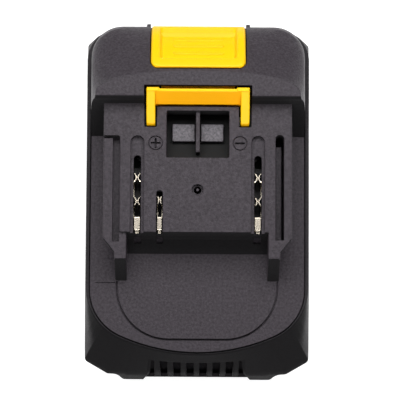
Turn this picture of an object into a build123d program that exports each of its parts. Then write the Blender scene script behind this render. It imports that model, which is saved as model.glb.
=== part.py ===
from build123d import *
import math
import os

# Slide-on battery pack for a cordless tool, in millimetres.
# X is the width, +Y is the latch end, +Z is up, and the origin is under the middle of the base.
# The cells set the size of the case, and the rest is placed from the case, the hood and the deck.

# Case walls and the room between them and the cells
wall = 2.2
plate_thickness = 2.2
side_room = 5.0
front_room = 6.39
rear_room = 13.89
overrun = 2.0
fit_gap = 0.3

# Cells and what holds and joins them
cell_diameter = 18.2
cell_length = 65.0
cell_spacing = 0.6
cells_per_row = 5
cell_layers = 2
cell_nub_radius = 3.6
cell_nub_height = 0.5
cell_rim_fillet = 0.8
bore_gap = 0.06
holder_wall = 0.6
holder_depth = 20.5
ring_thickness = 0.2
strip_thickness = 0.2
strip_width = 13.0
strip_slot_width = 1.2
strip_slot_length = 7.0
strip_corner = 2.0
sheet_thickness = 0.4
sheet_margin = 2.8
foam_thickness = 1.28
foam_inner_x = 13.0
foam_width = 6.0
foam_rear_margin = 3.61
foam_rear_length = 26.0
foam_front_margin = 9.81
foam_front_length = 2.0

# Heights of the deck and hood over the shoulder
deck_rise = 14.0
hood_rise = 6.0

# Lower case outline
belt_height = 27.5
side_rim = 1.3
side_slope_run = 0.7
front_rim = 0.8
rear_slope_run = 4.8
rear_corner_radius = 17.0
rear_arc_radius = 62.0
front_corner_radius = 10.5
belt_rear_chamfer_x = 8.3
belt_rear_chamfer_y = 4.8
belt_front_chamfer_x = 3.4
belt_front_chamfer_y = 3.2
base_draft = 1.0
base_end_draft = 0.4
base_rear_chamfer_x = 11.3
base_rear_chamfer_y = 10.0
base_edge_chamfer = 1.0
ledge_width = 1.5

# Rear vents
vent_count = 8
vent_slot_width = 2.5
vent_rib_width = 1.87
vent_top_half = 15.7
vent_foot_spread = 2.7
vent_top_drop = 6.0
vent_slot_margin = 2.4
vent_slot_low = 3.0
vent_recess_depth = 0.9
vent_frame = 0.9

# Case screws and the posts they run in
case_screw_rear_x = 13.0
case_screw_front_x = 22.0
boss_rear_gap = 1.49
boss_front_gap = 0.09
boss_split_height = 10.0
boss_radius = 2.1
screw_shaft_radius = 1.2
screw_hole_gap = 0.2
screw_length = 16.0
screw_head_radius = 2.1
screw_head_height = 1.4
screw_recess_depth = 1.9
screw_recess_gap = 0.2
screw_cross_width = 0.6
screw_cross_depth = 0.7

# Hood, as level sections from the shoulder up to its flat top
hood_front_ledge = 1.1
hood_front_run = 17.8
hood_top_length = 8.0
hood_rear_run = 10.2
hood_side_lean = 2.0
hood_corner_radius = 10.2
hood_height_shares = [0.0, 0.35, 0.7, 1.0]
hood_front_shares = [0.0, 0.067, 0.393, 1.0]
hood_rear_shares = [1.0, 0.53, 0.127, 0.0]
hood_side_shares = [0.0, 0.05, 0.3, 1.0]
hood_radius_shares = [1.0, 0.98, 0.92, 0.784]
hood_corner_share = 0.9

# Deck, grooves, rails and legs
core_half_width = 25.3
groove_width = 2.3
rail_wall = 1.4
lip_overhang = 1.6
lip_thickness = 3.0
deck_block_length = 12.5
rail_length = 31.5
groove_tail = 2.9
lip_tail = 1.8
lip_taper = 4.7
left_rail_drop = 0.8
leg_width = 3.8
leg_side_step = 1.5
leg_length = 8.6
leg_ramp_run = 5.6
deck_ramp_run = 5.3
deck_ramp_height = 4.0

# Raised well of the port window and what shows in it
window_half_width = 10.2
window_length = 15.3
window_front_wall = 2.2
window_rib_width = 1.35
window_rib_depth = 2.0
window_well_wall = 1.2
window_well_depth = 9.0
port_block_width = 7.4
port_block_length = 5.9
port_block_setback = 5.6
port_block_drop = 6.0
port_block_slot = 1.2

# Contact slots and contacts
contact_x = 19.6
contact_recess_width = 4.7
contact_recess_depth = 1.0
contact_recess_reach = 0.3
contact_slot_width = 2.5
contact_slot_setback = 6.1
signal_x = -12.3
signal_slot_width = 2.1
signal_slot_length = 13.7
slot_depth = 10.4
leaf_thickness = 0.35
leaf_drop = 1.4
leaf_length = 14.9
leaf_spread = 0.8
leaf_place_shares = [0.0, 0.33, 0.59, 0.852, 1.0]
leaf_spread_shares = [1.0, 0.25, 0.94, 0.25, 1.0]
signal_leaf_length = 6.9
signal_leaf_spread = 0.6
signal_place_shares = [0.0, 0.75, 1.0]
signal_spread_shares = [1.0, 0.33, 1.0]
contact_base_setback = 1.2
contact_base_length = 4.3
contact_base_drop = 2.6
contact_base_half = 1.15
contact_foot_length = 2.5
signal_base_half = 0.95
block_height = 3.6
block_tip_length = 0.9
block_tip_drop = 6.0
block_tip_gap = 0.1

# Marks moulded in the deck
mark_radius = 2.35
mark_ring_width = 0.45
mark_line_width = 0.5
mark_line_length = 2.6
mark_depth = 0.35
mark_x = 13.7
mark_setback = 2.2
centre_mark_radius = 1.9
centre_mark_place = 14.0
centre_mark_depth = 0.6
centre_pip_radius = 0.9

# Groove in the shoulder plate
inner_groove_half = 26.3
inner_groove_radius = 17.0
inner_groove_rear_margin = 4.5
inner_groove_tail = 14.4
inner_groove_width = 0.7
inner_groove_depth = 0.6

# Latch button
latch_travel = 6.0
latch_stop_gap = 0.6
button_width = 30.8
button_gap = 0.35
button_setback = 1.2
button_proud = 0.9
button_shell = 2.4
button_rim = 1.8
button_corner = 2.6
scoop_side_rim = 2.8
scoop_rear_rim = 3.2
scoop_front_rim = 2.3
scoop_depth = 1.4
scoop_corner = 1.0
ridge_side_margin = 4.2
ridge_width = 1.5
ridge_height = 0.5
ridge_pitch = 2.6
ridge_count = 3
guide_side_step = 1.4
guide_front_inset = 4.3
guide_thickness = 1.6
ear_width = 1.3
ear_length = 4.8
ear_front_inset = 0.2
ear_lift = 2.0
ear_height = 5.5

# Latch cross bar, hooks and web
hook_side_step = 1.2
hook_drop = 0.2
hook_setback = 2.7
hook_top_width = 1.3
hook_face_run = 3.3
hook_foot_drop = 0.4
hook_gap = 0.6
hook_depth = 3.5
hook_arm_width = 2.8
hook_pad_width = 3.9
hook_pad_height = 0.3
hook_opening_gap = 0.8
arm_length = 7.0
arm_end_drop = 1.0
arm_end_depth = 3.6
arm_slot_gap = 0.45
web_half_width = 12.0
web_rise = 0.6
web_thickness = 3.0
stop_rib_inner_x = 8.0
stop_rib_width = 3.0
stop_rib_setback = 1.7
stop_rib_length = 3.5

# Latch springs
spring_x = 8.0
spring_setback = 5.7
spring_radius = 2.3
spring_wire_radius = 0.35
spring_turns = 6
spring_seat_drop = 1.5
spring_seat_radius = 3.3
spring_pin_radius = 1.5
spring_pin_length = 2.5
bridge_margin = 0.8

# Circuit board and what stands on it
board_standoff = 2.48
board_thickness = 1.6
board_side_gap = 1.7
board_rear_gap = 0.2
board_front_reach = 4.4
board_screw_x = 18.5
board_boss_radius = 2.3
board_screw_radius = 0.9
board_screw_length = 5.0
board_screw_head_radius = 1.9
board_screw_head_height = 1.2
transistor_size = (6.2, 6.6, 2.3)
transistor_pitch = 7.4
transistor_count = 3
transistor_gap = 0.6
chip_size = (9.0, 9.0, 1.4)
chip_gap = 1.8
fuse_size = (8.0, 3.0, 2.2)
fuse_place_shares = (0.584, 0.187)
capacitor_radius = 1.6
capacitor_height = 2.6
capacitor_place_shares = [(-0.514, 0.228), (-0.514, 0.593), (0.514, 0.675)]
barrier_half_width = 16.0
barrier_thickness = 0.4
lead_width = 5.0
lead_offset = 2.0
lead_drop = 2.76
lead_lift = 0.58
lead_turn = 1.0
lead_board_reach = 0.4
lead_rise_width = 4.0
lead_left_rise_setback = 4.0
lead_right_rise_setback = 4.0

# Cells, case and heights worked out from the sizes above
cell_radius = cell_diameter / 2
cell_pitch = cell_diameter + cell_spacing
bore_radius = cell_radius + bore_gap
holder_corner = bore_radius + holder_wall
row_length = (cells_per_row - 1) * cell_pitch + 2 * holder_corner
pack_width = cell_length + 2 * side_room
pack_length = row_length + front_room + rear_room
half_width = pack_width / 2
half_length = pack_length / 2
holder_front_y = half_length - front_room
holder_rear_y = holder_front_y - row_length
cell_ys = [holder_rear_y + holder_corner + row * cell_pitch for row in range(cells_per_row)]
cell_heights = [wall + holder_corner + layer * cell_pitch for layer in range(cell_layers)]
holder_top = cell_heights[-1] + holder_corner
plate_bottom = holder_top + foam_thickness
shoulder_height = plate_bottom + plate_thickness
deck_height = shoulder_height + deck_rise
hood_height = deck_height + hood_rise
deck_underside = deck_height - wall
rim_half = half_width - side_slope_run
shoulder_half = rim_half - side_rim
shoulder_front = half_length - front_rim
shoulder_rear = rear_slope_run + side_rim - half_length
strip_x = cell_length / 2
can_length = cell_length - cell_nub_height
nub_foot_x = strip_x - cell_nub_height
holder_outer_x = nub_foot_x
holder_inner_x = holder_outer_x - holder_depth
lead_x = strip_x + strip_thickness
sheet_x = lead_x + strip_thickness
vent_pitch = vent_slot_width + vent_rib_width
vent_top_height = shoulder_height - vent_top_drop
vent_foot_half = vent_top_half + vent_foot_spread
boss_rear_y = holder_rear_y - boss_rear_gap - boss_radius
boss_front_y = holder_front_y + boss_front_gap + boss_radius
case_screw_places = [
    (case_screw_rear_x, boss_rear_y),
    (-case_screw_rear_x, boss_rear_y),
    (case_screw_front_x, boss_front_y),
    (-case_screw_front_x, boss_front_y),
]

# Hood and latch, worked out from the front end backwards
hood_ramp_y = half_length - hood_front_ledge
hood_top_front_y = hood_ramp_y - hood_front_run
hood_top_rear_y = hood_top_front_y - hood_top_length
hood_heights = [shoulder_height + share * (deck_rise + hood_rise) for share in hood_height_shares]
hood_front_ys = [hood_ramp_y - share * hood_front_run for share in hood_front_shares]
hood_rear_ys = [hood_top_rear_y - share * hood_rear_run for share in hood_rear_shares]
hood_halves = [shoulder_half - fit_gap - share * hood_side_lean for share in hood_side_shares]
hood_radii = [share * hood_corner_radius for share in hood_radius_shares]
button_half = button_width / 2
button_rear_y = hood_top_front_y + button_setback
button_foot_height = shoulder_height + latch_travel + latch_stop_gap
scoop_half_width = button_half - scoop_side_rim
scoop_rear_y = button_rear_y + scoop_rear_rim
scoop_front_y = half_length - scoop_front_rim
ridge_half_width = scoop_half_width - ridge_side_margin
guide_half_width = button_half - guide_side_step
guide_front_y = half_length - guide_front_inset
guide_foot = shoulder_height + latch_stop_gap
ear_front_y = half_length - ear_front_inset
ear_foot = shoulder_height + ear_lift
ear_top = ear_foot + ear_height
hook_half_width = button_half + hook_side_step
hook_top = hood_height - hook_drop
hook_front_y = hood_top_rear_y + hook_setback
hook_edge_y = hook_front_y - hook_top_width
hook_foot_y = hook_edge_y - hook_face_run
hook_foot_height = deck_height - hook_foot_drop
hook_bottom = deck_height - hook_depth
hook_opening_rear_y = hook_foot_y - hook_opening_gap
arm_end_y = hook_foot_y - arm_length
arm_end_top = deck_height - arm_end_drop
arm_end_bottom = arm_end_top - arm_end_depth
web_top = deck_height + web_rise
web_bottom = web_top - web_thickness
stop_rib_rear_y = hook_front_y + stop_rib_setback
spring_y = button_rear_y + spring_setback
spring_seat_height = deck_height - spring_seat_drop

# Deck, window and contacts, worked out from the hood's rear edge backwards
groove_outer_x = core_half_width + groove_width
deck_half_width = groove_outer_x + rail_wall + lip_overhang
core_inner_half = core_half_width - wall
deck_block_y = hood_top_rear_y - deck_block_length
deck_end_y = deck_block_y - rail_length
core_inner_rear = deck_end_y + wall
groove_end_y = deck_end_y - groove_tail
lip_end_y = deck_end_y - lip_tail
lip_tip_y = lip_end_y - lip_taper
leg_outer_x = core_half_width + leg_side_step
leg_inner_x = leg_outer_x - leg_width
leg_end_y = deck_end_y - leg_length
window_front_y = hook_foot_y - window_front_wall
window_rear_y = window_front_y - window_length
port_block_rear_y = window_rear_y + port_block_setback
port_block_front_y = port_block_rear_y + port_block_length
port_block_top = deck_height - port_block_drop
contact_recess_front_y = deck_block_y + contact_recess_reach
contact_slot_front_y = deck_block_y - contact_slot_setback
signal_slot_front_y = deck_end_y + signal_slot_length
slot_floor_height = deck_height - slot_depth
mark_y = deck_block_y - mark_setback
centre_mark_y = deck_end_y + centre_mark_place
inner_groove_start_y = deck_end_y - inner_groove_tail
inner_groove_rear_y = shoulder_rear + inner_groove_rear_margin
contact_base_rear_y = deck_end_y + contact_base_setback
contact_base_front_y = contact_base_rear_y + contact_base_length
contact_foot_rear_y = contact_base_front_y - contact_foot_length
contact_base_top = deck_height - contact_base_drop
leaf_top = deck_height - leaf_drop

# Circuit board, worked out from the cell holders and the deck above it
board_bottom = holder_top + board_standoff
board_top = board_bottom + board_thickness
board_half_width = core_inner_half - board_side_gap
board_rear_y = core_inner_rear + board_rear_gap
board_front_y = hood_top_rear_y + board_front_reach
middle_row = cells_per_row // 2
board_screw_ys = [cell_ys[row] + cell_pitch / 2 for row in (middle_row, middle_row + 1)]
board_screw_places = [(side * board_screw_x, y) for side in (1, -1) for y in board_screw_ys]
block_top = board_top + block_height
block_rear_y = core_inner_rear + fit_gap
transistor_y = port_block_rear_y - transistor_gap - transistor_size[1] / 2
block_front_y = transistor_y - transistor_size[1] / 2 - transistor_gap
leaf_foot = block_top + fit_gap
chip_y = port_block_front_y + chip_gap + chip_size[1] / 2
lead_shelf_height = holder_top + lead_lift
lead_foot_height = cell_heights[-1] - lead_drop
lead_rise_x = board_half_width - lead_board_reach
lead_turn_x = lead_rise_x + lead_turn
lead_left_rise_y = board_front_y - lead_left_rise_setback
lead_right_rise_y = board_rear_y + lead_right_rise_setback


def block(low, high):
    """A box between two opposite corners."""
    size = [b - a for a, b in zip(low, high)]
    middle = [(a + b) / 2 for a, b in zip(low, high)]
    return Pos(*middle) * Box(*size)


def post(x, y, low, high, radius):
    """A round upright post between two heights."""
    return Pos(x, y, (low + high) / 2) * Cylinder(radius, high - low)


def raised(face, low, high):
    """A flat outline raised between two heights."""
    return Pos(0, 0, low) * extrude(face, high - low, dir=(0, 0, 1))


def plan_prism(points, low, high):
    """A prism that stands on a plan outline between two heights."""
    return raised(make_face(Polyline(*points, close=True)), low, high)


def side_prism(points, low_x, high_x):
    """A prism across the width with a side outline given as y and z."""
    face = make_face(Polyline(*[(low_x, y, z) for y, z in points], close=True))
    return extrude(face, high_x - low_x, dir=(1, 0, 0))


def round_block(low, high, radius):
    """A box between two corners whose upright edges are rounded."""
    return fillet(block(low, high).edges().filter_by(Axis.Z), radius)


def slot_cut(x, width, front_y, low):
    """A slot in the deck that is open at the deck's end and round at its front."""
    radius = width / 2
    top = deck_height + overrun
    straight = block((x - radius, deck_end_y - overrun, low), (x + radius, front_y - radius, top))
    return straight + post(x, front_y - radius, low, top, radius)


def mirrored(shape):
    """The same shape on the other side of the middle plane."""
    return mirror(shape, about=Plane.YZ)


def rear_points(inset):
    """Points of the shoulder's rounded rear on the right side, moved inwards by inset."""
    corner = rear_corner_radius - inset
    centre_x = shoulder_half - rear_corner_radius
    reach = rear_arc_radius - rear_corner_radius
    drop = math.sqrt(reach**2 - centre_x**2)
    corner_y = shoulder_rear + rear_arc_radius - drop
    turn = math.atan2(drop, centre_x)
    points = []
    for share in (0, 1 / 2, 1):
        angle = share * turn
        points.append((centre_x + corner * math.cos(angle), corner_y - corner * math.sin(angle)))
    return points


def rear_edges(inset):
    """The shoulder's two rear corners and the long rear arc between them."""
    start, middle, end = rear_points(inset)
    flip = [(-x, y) for x, y in (start, middle, end)]
    return [
        ThreePointArc(start, middle, end),
        ThreePointArc(end, (0, shoulder_rear + inset), flip[2]),
        ThreePointArc(flip[2], flip[1], flip[0]),
    ]


def shoulder_outline(inset):
    """The outline of the shoulder plate, moved inwards by inset."""
    side = shoulder_half - inset
    front = shoulder_front - inset
    radius = front_corner_radius - inset
    bend = radius * (1 - math.sqrt(1 / 2))
    rear_y = rear_points(inset)[0][1]
    edges = [
        Line((radius - side, front), (side - radius, front)),
        ThreePointArc((side - radius, front), (side - bend, front - bend), (side, front - radius)),
        Line((side, front - radius), (side, rear_y)),
    ]
    edges += rear_edges(inset)
    edges += [
        Line((-side, rear_y), (-side, front - radius)),
        ThreePointArc((-side, front - radius), (bend - side, front - bend), (radius - side, front)),
    ]
    return make_face(edges)


def rim_outline():
    """The outer edge of the lower case's top rim, with flat corners at the front."""
    cut_x = rim_half - belt_front_chamfer_x
    cut_y = half_length - belt_front_chamfer_y
    rear_y = rear_points(-side_rim)[0][1]
    edges = [
        Line((-cut_x, half_length), (cut_x, half_length)),
        Line((cut_x, half_length), (rim_half, cut_y)),
        Line((rim_half, cut_y), (rim_half, rear_y)),
    ]
    edges += rear_edges(-side_rim)
    edges += [
        Line((-rim_half, rear_y), (-rim_half, cut_y)),
        Line((-rim_half, cut_y), (-cut_x, half_length)),
    ]
    return make_face(edges)


def flat_cornered(side, front, front_x, front_y, rear, rear_x, rear_y):
    """An outline with four flat corners, given by how far each is cut along x and y."""
    points = [
        (front_x - side, front),
        (side - front_x, front),
        (side, front - front_y),
        (side, rear_y - rear),
        (side - rear_x, -rear),
        (rear_x - side, -rear),
        (-side, rear_y - rear),
        (-side, front - front_y),
    ]
    return make_face(Polyline(*points, close=True))


def belt_outline(inset):
    """The widest outline of the lower case, moved inwards by inset."""
    outline = flat_cornered(
        half_width,
        half_length,
        belt_front_chamfer_x,
        belt_front_chamfer_y,
        half_length,
        belt_rear_chamfer_x,
        belt_rear_chamfer_y,
    )
    return offset(outline, -inset, kind=Kind.INTERSECTION) if inset else outline


def base_outline(inset):
    """The outline of the lower case at the table, moved inwards by inset."""
    outline = flat_cornered(
        half_width - base_draft,
        half_length - base_end_draft,
        belt_front_chamfer_x,
        belt_front_chamfer_y,
        half_length - base_end_draft,
        base_rear_chamfer_x,
        base_rear_chamfer_y,
    )
    return offset(outline, -inset, kind=Kind.INTERSECTION) if inset else outline


def ruled_between(low_face, low, high_face, high):
    """A solid with straight sides from one outline up to another."""
    return loft([Pos(0, 0, low) * low_face, Pos(0, 0, high) * high_face], ruled=True)


def vent_trapezoid(inset):
    """A trapezoid prism through the rear wall where the vents are."""
    top = vent_top_height - inset
    points = [
        (-vent_foot_half + inset, -overrun),
        (-vent_foot_half + inset, 0),
        (-vent_top_half + inset, top),
        (vent_top_half - inset, top),
        (vent_foot_half - inset, 0),
        (vent_foot_half - inset, -overrun),
    ]
    face = make_face(Polyline(*[(x, -half_length - overrun, z) for x, z in points], close=True))
    depth = boss_rear_y - boss_radius - wall + half_length
    return extrude(face, overrun + depth, dir=(0, 1, 0))


def make_lower_case():
    """The cup that holds the cells, with its vents and screw posts."""
    lower = ruled_between(base_outline(0), 0, belt_outline(0), belt_height)
    upper = ruled_between(belt_outline(0), belt_height, rim_outline(), shoulder_height)
    base_edges = lower.faces().sort_by(Axis.Z)[0].edges()
    outer = chamfer(base_edges, base_edge_chamfer) + upper
    inner = ruled_between(base_outline(wall), wall, belt_outline(wall), belt_height)
    inner += ruled_between(
        belt_outline(wall), belt_height, shoulder_outline(ledge_width), plate_bottom
    )
    case = outer - inner
    case -= raised(shoulder_outline(0), plate_bottom, shoulder_height + overrun)
    case -= (outer & vent_trapezoid(0)) - Pos(0, vent_recess_depth, 0) * outer
    slots = Part()
    slot_top = vent_top_height - vent_slot_margin
    for index in range(vent_count):
        x = (index - (vent_count - 1) / 2) * vent_pitch
        low = (x - vent_slot_width / 2, -half_length - overrun, vent_slot_low)
        high = (x + vent_slot_width / 2, shoulder_rear + ledge_width, slot_top)
        slots += block(low, high)
    case -= slots & vent_trapezoid(vent_frame)
    for x, y in case_screw_places:
        case += post(x, y, wall / 2, boss_split_height, boss_radius)
        case -= post(x, y, boss_split_height, shoulder_height, boss_radius + fit_gap)
        case -= post(x, y, -overrun, boss_split_height + overrun, screw_shaft_radius + screw_hole_gap)
        recess = screw_head_radius + screw_recess_gap
        case -= post(x, y, -overrun, screw_recess_depth, recess)
    return case


def hood_section(index, inset, height):
    """One level outline of the hood, moved inwards by inset."""
    side = hood_halves[index] - inset
    rear = hood_rear_ys[index] + inset
    front = hood_front_ys[index] - inset
    radius = min(hood_radii[index] - inset, hood_corner_share * (front - rear))
    bend = radius * (1 - math.sqrt(1 / 2))
    edges = [
        Line((-side, rear), (side, rear)),
        Line((side, rear), (side, front - radius)),
        ThreePointArc((side, front - radius), (side - bend, front - bend), (side - radius, front)),
        Line((side - radius, front), (radius - side, front)),
        ThreePointArc((radius - side, front), (bend - side, front - bend), (-side, front - radius)),
        Line((-side, front - radius), (-side, rear)),
    ]
    return Pos(0, 0, height) * make_face(edges)


def hood_form(inset):
    """The hood's full form, or its hollow where inset is the wall."""
    heights = list(hood_heights)
    heights[-1] -= inset
    sections = [hood_section(index, inset, height) for index, height in enumerate(heights)]
    return loft(sections)


def make_rail(top):
    """The right-hand rail: wall, outward lip, leg and the leg's ramp."""
    start_y = deck_block_y + wall

    def rail_plan(shrink):
        return [
            (groove_outer_x, start_y),
            (deck_half_width - shrink, start_y),
            (deck_half_width - shrink, lip_end_y),
            (leg_outer_x, lip_tip_y + shrink),
            (core_half_width, lip_tip_y + shrink),
            (core_half_width, groove_end_y),
            (groove_outer_x, groove_end_y),
        ]

    rail = plan_prism(rail_plan(lip_overhang), plate_bottom, top - lip_thickness)
    rail += plan_prism(rail_plan(0), top - lip_thickness, top)
    rail += block((leg_inner_x, leg_end_y, plate_bottom), (leg_outer_x, deck_end_y + wall / 2, top))
    ramp = [
        (leg_end_y, top),
        (leg_end_y - leg_ramp_run, shoulder_height),
        (leg_end_y - leg_ramp_run, plate_bottom),
        (leg_end_y, plate_bottom),
    ]
    return rail + side_prism(ramp, leg_inner_x, leg_outer_x)


def deck_form():
    """The raised deck with its rails, legs and the ramp at its foot."""
    core_high = (core_half_width, hood_top_rear_y + wall / 2, deck_height)
    deck = block((-core_half_width, deck_end_y, plate_bottom), core_high)
    wide_high = (deck_half_width, hood_rear_ys[2], deck_height)
    deck += block((-deck_half_width, deck_block_y, plate_bottom), wide_high)
    ramp = [
        (deck_end_y, shoulder_height + deck_ramp_height),
        (deck_end_y - deck_ramp_run, shoulder_height),
        (deck_end_y - deck_ramp_run, plate_bottom),
        (deck_end_y, plate_bottom),
    ]
    deck += side_prism(ramp, -leg_inner_x, leg_inner_x)
    deck += make_rail(deck_height)
    return deck + mirrored(make_rail(deck_height - left_rail_drop))


def deck_hollow():
    """The room under the deck, open to the hood's hollow and to the cells below."""
    low_corner = (-core_inner_half, core_inner_rear, plate_bottom - overrun)
    bridge_y = button_rear_y - bridge_margin
    hollow = block(low_corner, (core_inner_half, bridge_y, board_top))
    front = hood_top_rear_y + wall + overrun
    hollow += block(low_corner, (core_inner_half, front, deck_underside))
    wide_half = deck_half_width - wall
    wide_low = (-wide_half, deck_block_y + wall, shoulder_height)
    hollow += block(wide_low, (wide_half, hood_rear_ys[2] + overrun, deck_underside))
    guide_side = guide_half_width + fit_gap
    guide_low = (-guide_side, guide_front_y - guide_thickness - fit_gap, plate_bottom - overrun)
    return hollow + block(guide_low, (guide_side, guide_front_y + fit_gap, board_top))


def contact_cuts():
    """The shallow recesses and the deep slots over the contacts."""
    cuts = Part()
    for x in (contact_x, -contact_x):
        recess_low = deck_height - contact_recess_depth
        cuts += slot_cut(x, contact_recess_width, contact_recess_front_y, recess_low)
        cuts += slot_cut(x, contact_slot_width, contact_slot_front_y, slot_floor_height)
    return cuts + slot_cut(signal_x, signal_slot_width, signal_slot_front_y, slot_floor_height)


def deck_marks():
    """The plus and minus marks and the round mark in the middle of the deck."""
    low = deck_height - mark_depth
    top = deck_height + overrun
    cuts = Part()
    for x in (mark_x, -mark_x):
        cuts += post(x, mark_y, low, top, mark_radius)
        cuts -= post(x, mark_y, low, top, mark_radius - mark_ring_width)
        bar = mark_line_length / 2
        line = mark_line_width / 2
        cuts += block((x - bar, mark_y - line, low), (x + bar, mark_y + line, top))
        if x < 0:
            cuts += block((x - line, mark_y - bar, low), (x + line, mark_y + bar, top))
    centre_low = deck_height - centre_mark_depth
    ring = post(0, centre_mark_y, centre_low, top, centre_mark_radius)
    return cuts + ring - post(0, centre_mark_y, centre_low, top, centre_pip_radius)


def inner_groove():
    """The fine U-shaped groove round the lower part of the shoulder."""
    low = shoulder_height - inner_groove_depth
    top = shoulder_height + overrun
    tall = inner_groove_start_y + inner_groove_radius * 2

    def loop(grow):
        corner = (inner_groove_half + grow, tall, top)
        shape = block((-corner[0], inner_groove_rear_y - grow, low), corner)
        rear = shape.edges().filter_by(Axis.Z).group_by(Axis.Y)[0]
        return fillet(rear, inner_groove_radius + grow)

    groove = loop(inner_groove_width / 2) - loop(-inner_groove_width / 2)
    keep_low = (-half_width, -half_length, low)
    return groove & block(keep_low, (half_width, inner_groove_start_y, top))


def latch_openings():
    """Where the latch's button, cross bar and arms come through the upper case."""
    side = hook_half_width + hook_gap
    low = hook_bottom - latch_travel - hook_gap
    top = hood_height + overrun
    cuts = block((-side, hook_opening_rear_y, low), (side, hook_front_y + hook_gap, top))
    arm_low = arm_end_bottom - latch_travel - hook_gap
    inner = hook_half_width - hook_arm_width - arm_slot_gap
    outer = hook_half_width + arm_slot_gap
    arm = block((inner, arm_end_y - arm_slot_gap, arm_low), (outer, hook_foot_y, top))
    cuts += arm + mirrored(arm)
    button = button_half + button_gap
    foot = guide_foot
    low_corner = (-button, button_rear_y - button_gap, foot)
    high_corner = (button, half_length + button_corner + button_gap + overrun, top)
    return cuts + round_block(low_corner, high_corner, button_corner + button_gap)


def window_well():
    """The walls that hang round the port window."""
    low = deck_height - window_well_depth
    grow = window_well_wall
    outer_low = (-window_half_width - grow, window_rear_y - grow, low)
    outer_high = (window_half_width + grow, window_front_y + grow, deck_underside + wall / 2)
    return block(outer_low, outer_high)


def window_cut():
    """The window itself, left open on both sides of its thin rib."""
    low = deck_height - window_well_depth - overrun
    top = deck_height + overrun
    cut = block((-window_half_width, window_rear_y, low), (window_half_width, window_front_y, top))
    rib = window_rib_width / 2
    rib_low = deck_height - window_rib_depth
    return cut - block((-rib, window_rear_y, rib_low), (rib, window_front_y, deck_height))


def make_ears():
    """The two small upstands beside the button at the hood's front edge."""
    inner = button_half + button_gap
    ear = block((inner, ear_front_y - ear_length, ear_foot), (inner + ear_width, ear_front_y, ear_top))
    front_top = ear.edges().filter_by(Axis.X).group_by(Axis.Z)[-1].sort_by(Axis.Y)[-1]
    ear = chamfer(front_top, (ear_top - ear_foot) / 2)
    return ear + mirrored(ear)


def make_upper_case():
    """The shoulder plate, hood, deck, rails and screw posts in one moulding."""
    plate = raised(shoulder_outline(fit_gap), plate_bottom, shoulder_height)
    hood = hood_form(0)
    case = plate + hood + deck_form() + make_ears()
    case -= hood_form(wall)
    case -= deck_hollow()
    case += window_well()
    case -= window_cut()
    case -= contact_cuts()
    case -= deck_marks()
    case -= inner_groove()
    case -= latch_openings()
    low = boss_split_height + screw_hole_gap
    for x, y in case_screw_places:
        case += post(x, y, low, shoulder_height - plate_thickness / 2, boss_radius)
        bore_top = screw_recess_depth + screw_length + overrun
        case -= post(x, y, low - overrun, bore_top, screw_shaft_radius)
    return case


def slope_solid(shift):
    """Everything under the hood's front slope at the button, the slope moved by shift."""
    diagonal = shift * math.sqrt(1 / 2)
    points = [(0, y + diagonal, z + diagonal) for y, z in zip(hood_front_ys, hood_heights)]
    start = points[0]
    end = points[-1]
    rear_top = (0, hook_front_y, end[2])
    rear_foot = (0, hook_front_y, start[2])
    edges = [Spline(*points), Line(end, rear_top), Line(rear_top, rear_foot), Line(rear_foot, start)]
    return extrude(make_face(edges), button_half + overrun, both=True)


def button_ridges():
    """Raised grip bars on the floor of the button's scoop."""
    bars = Part()
    middle = (scoop_rear_y + scoop_front_y) / 2
    for index in range(ridge_count):
        y = middle + (index - (ridge_count - 1) / 2) * ridge_pitch
        low = (-ridge_half_width, y - ridge_width / 2, button_foot_height)
        high = (ridge_half_width, y + ridge_width / 2, hood_height + overrun)
        bars += block(low, high)
    floor = button_proud - scoop_depth
    return (bars & slope_solid(floor + ridge_height)) - slope_solid(floor - ridge_height)


def make_button():
    """The thumb button: a shell with a scooped face, its guide and spring seats."""
    top = hood_height + overrun
    low_corner = (-button_half, button_rear_y, button_foot_height)
    high_corner = (button_half, half_length + button_corner, top)
    plan = round_block(low_corner, high_corner, button_corner)
    button = plan & slope_solid(button_proud)
    inner_low = (button_rim - button_half, button_rear_y + button_rim, button_foot_height - overrun)
    inner_high = (button_half - button_rim, half_length - button_rim, top)
    button -= block(inner_low, inner_high) & slope_solid(button_proud - button_shell)
    scoop_low = (-scoop_half_width, scoop_rear_y, button_foot_height)
    scoop_high = (scoop_half_width, scoop_front_y, top)
    scoop = round_block(scoop_low, scoop_high, scoop_corner)
    button -= scoop - slope_solid(button_proud - scoop_depth)
    button += button_ridges()
    inside = slope_solid(button_proud - (scoop_depth + button_shell) / 2)
    guide_low = (-guide_half_width, guide_front_y - guide_thickness, guide_foot)
    button += block(guide_low, (guide_half_width, guide_front_y, top)) & inside
    for x in (spring_x, -spring_x):
        button += post(x, spring_y, spring_seat_height, top, spring_seat_radius) & inside
        pin_low = spring_seat_height - spring_pin_length
        button += post(x, spring_y, pin_low, spring_seat_height + wall / 2, spring_pin_radius)
    return button


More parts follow.
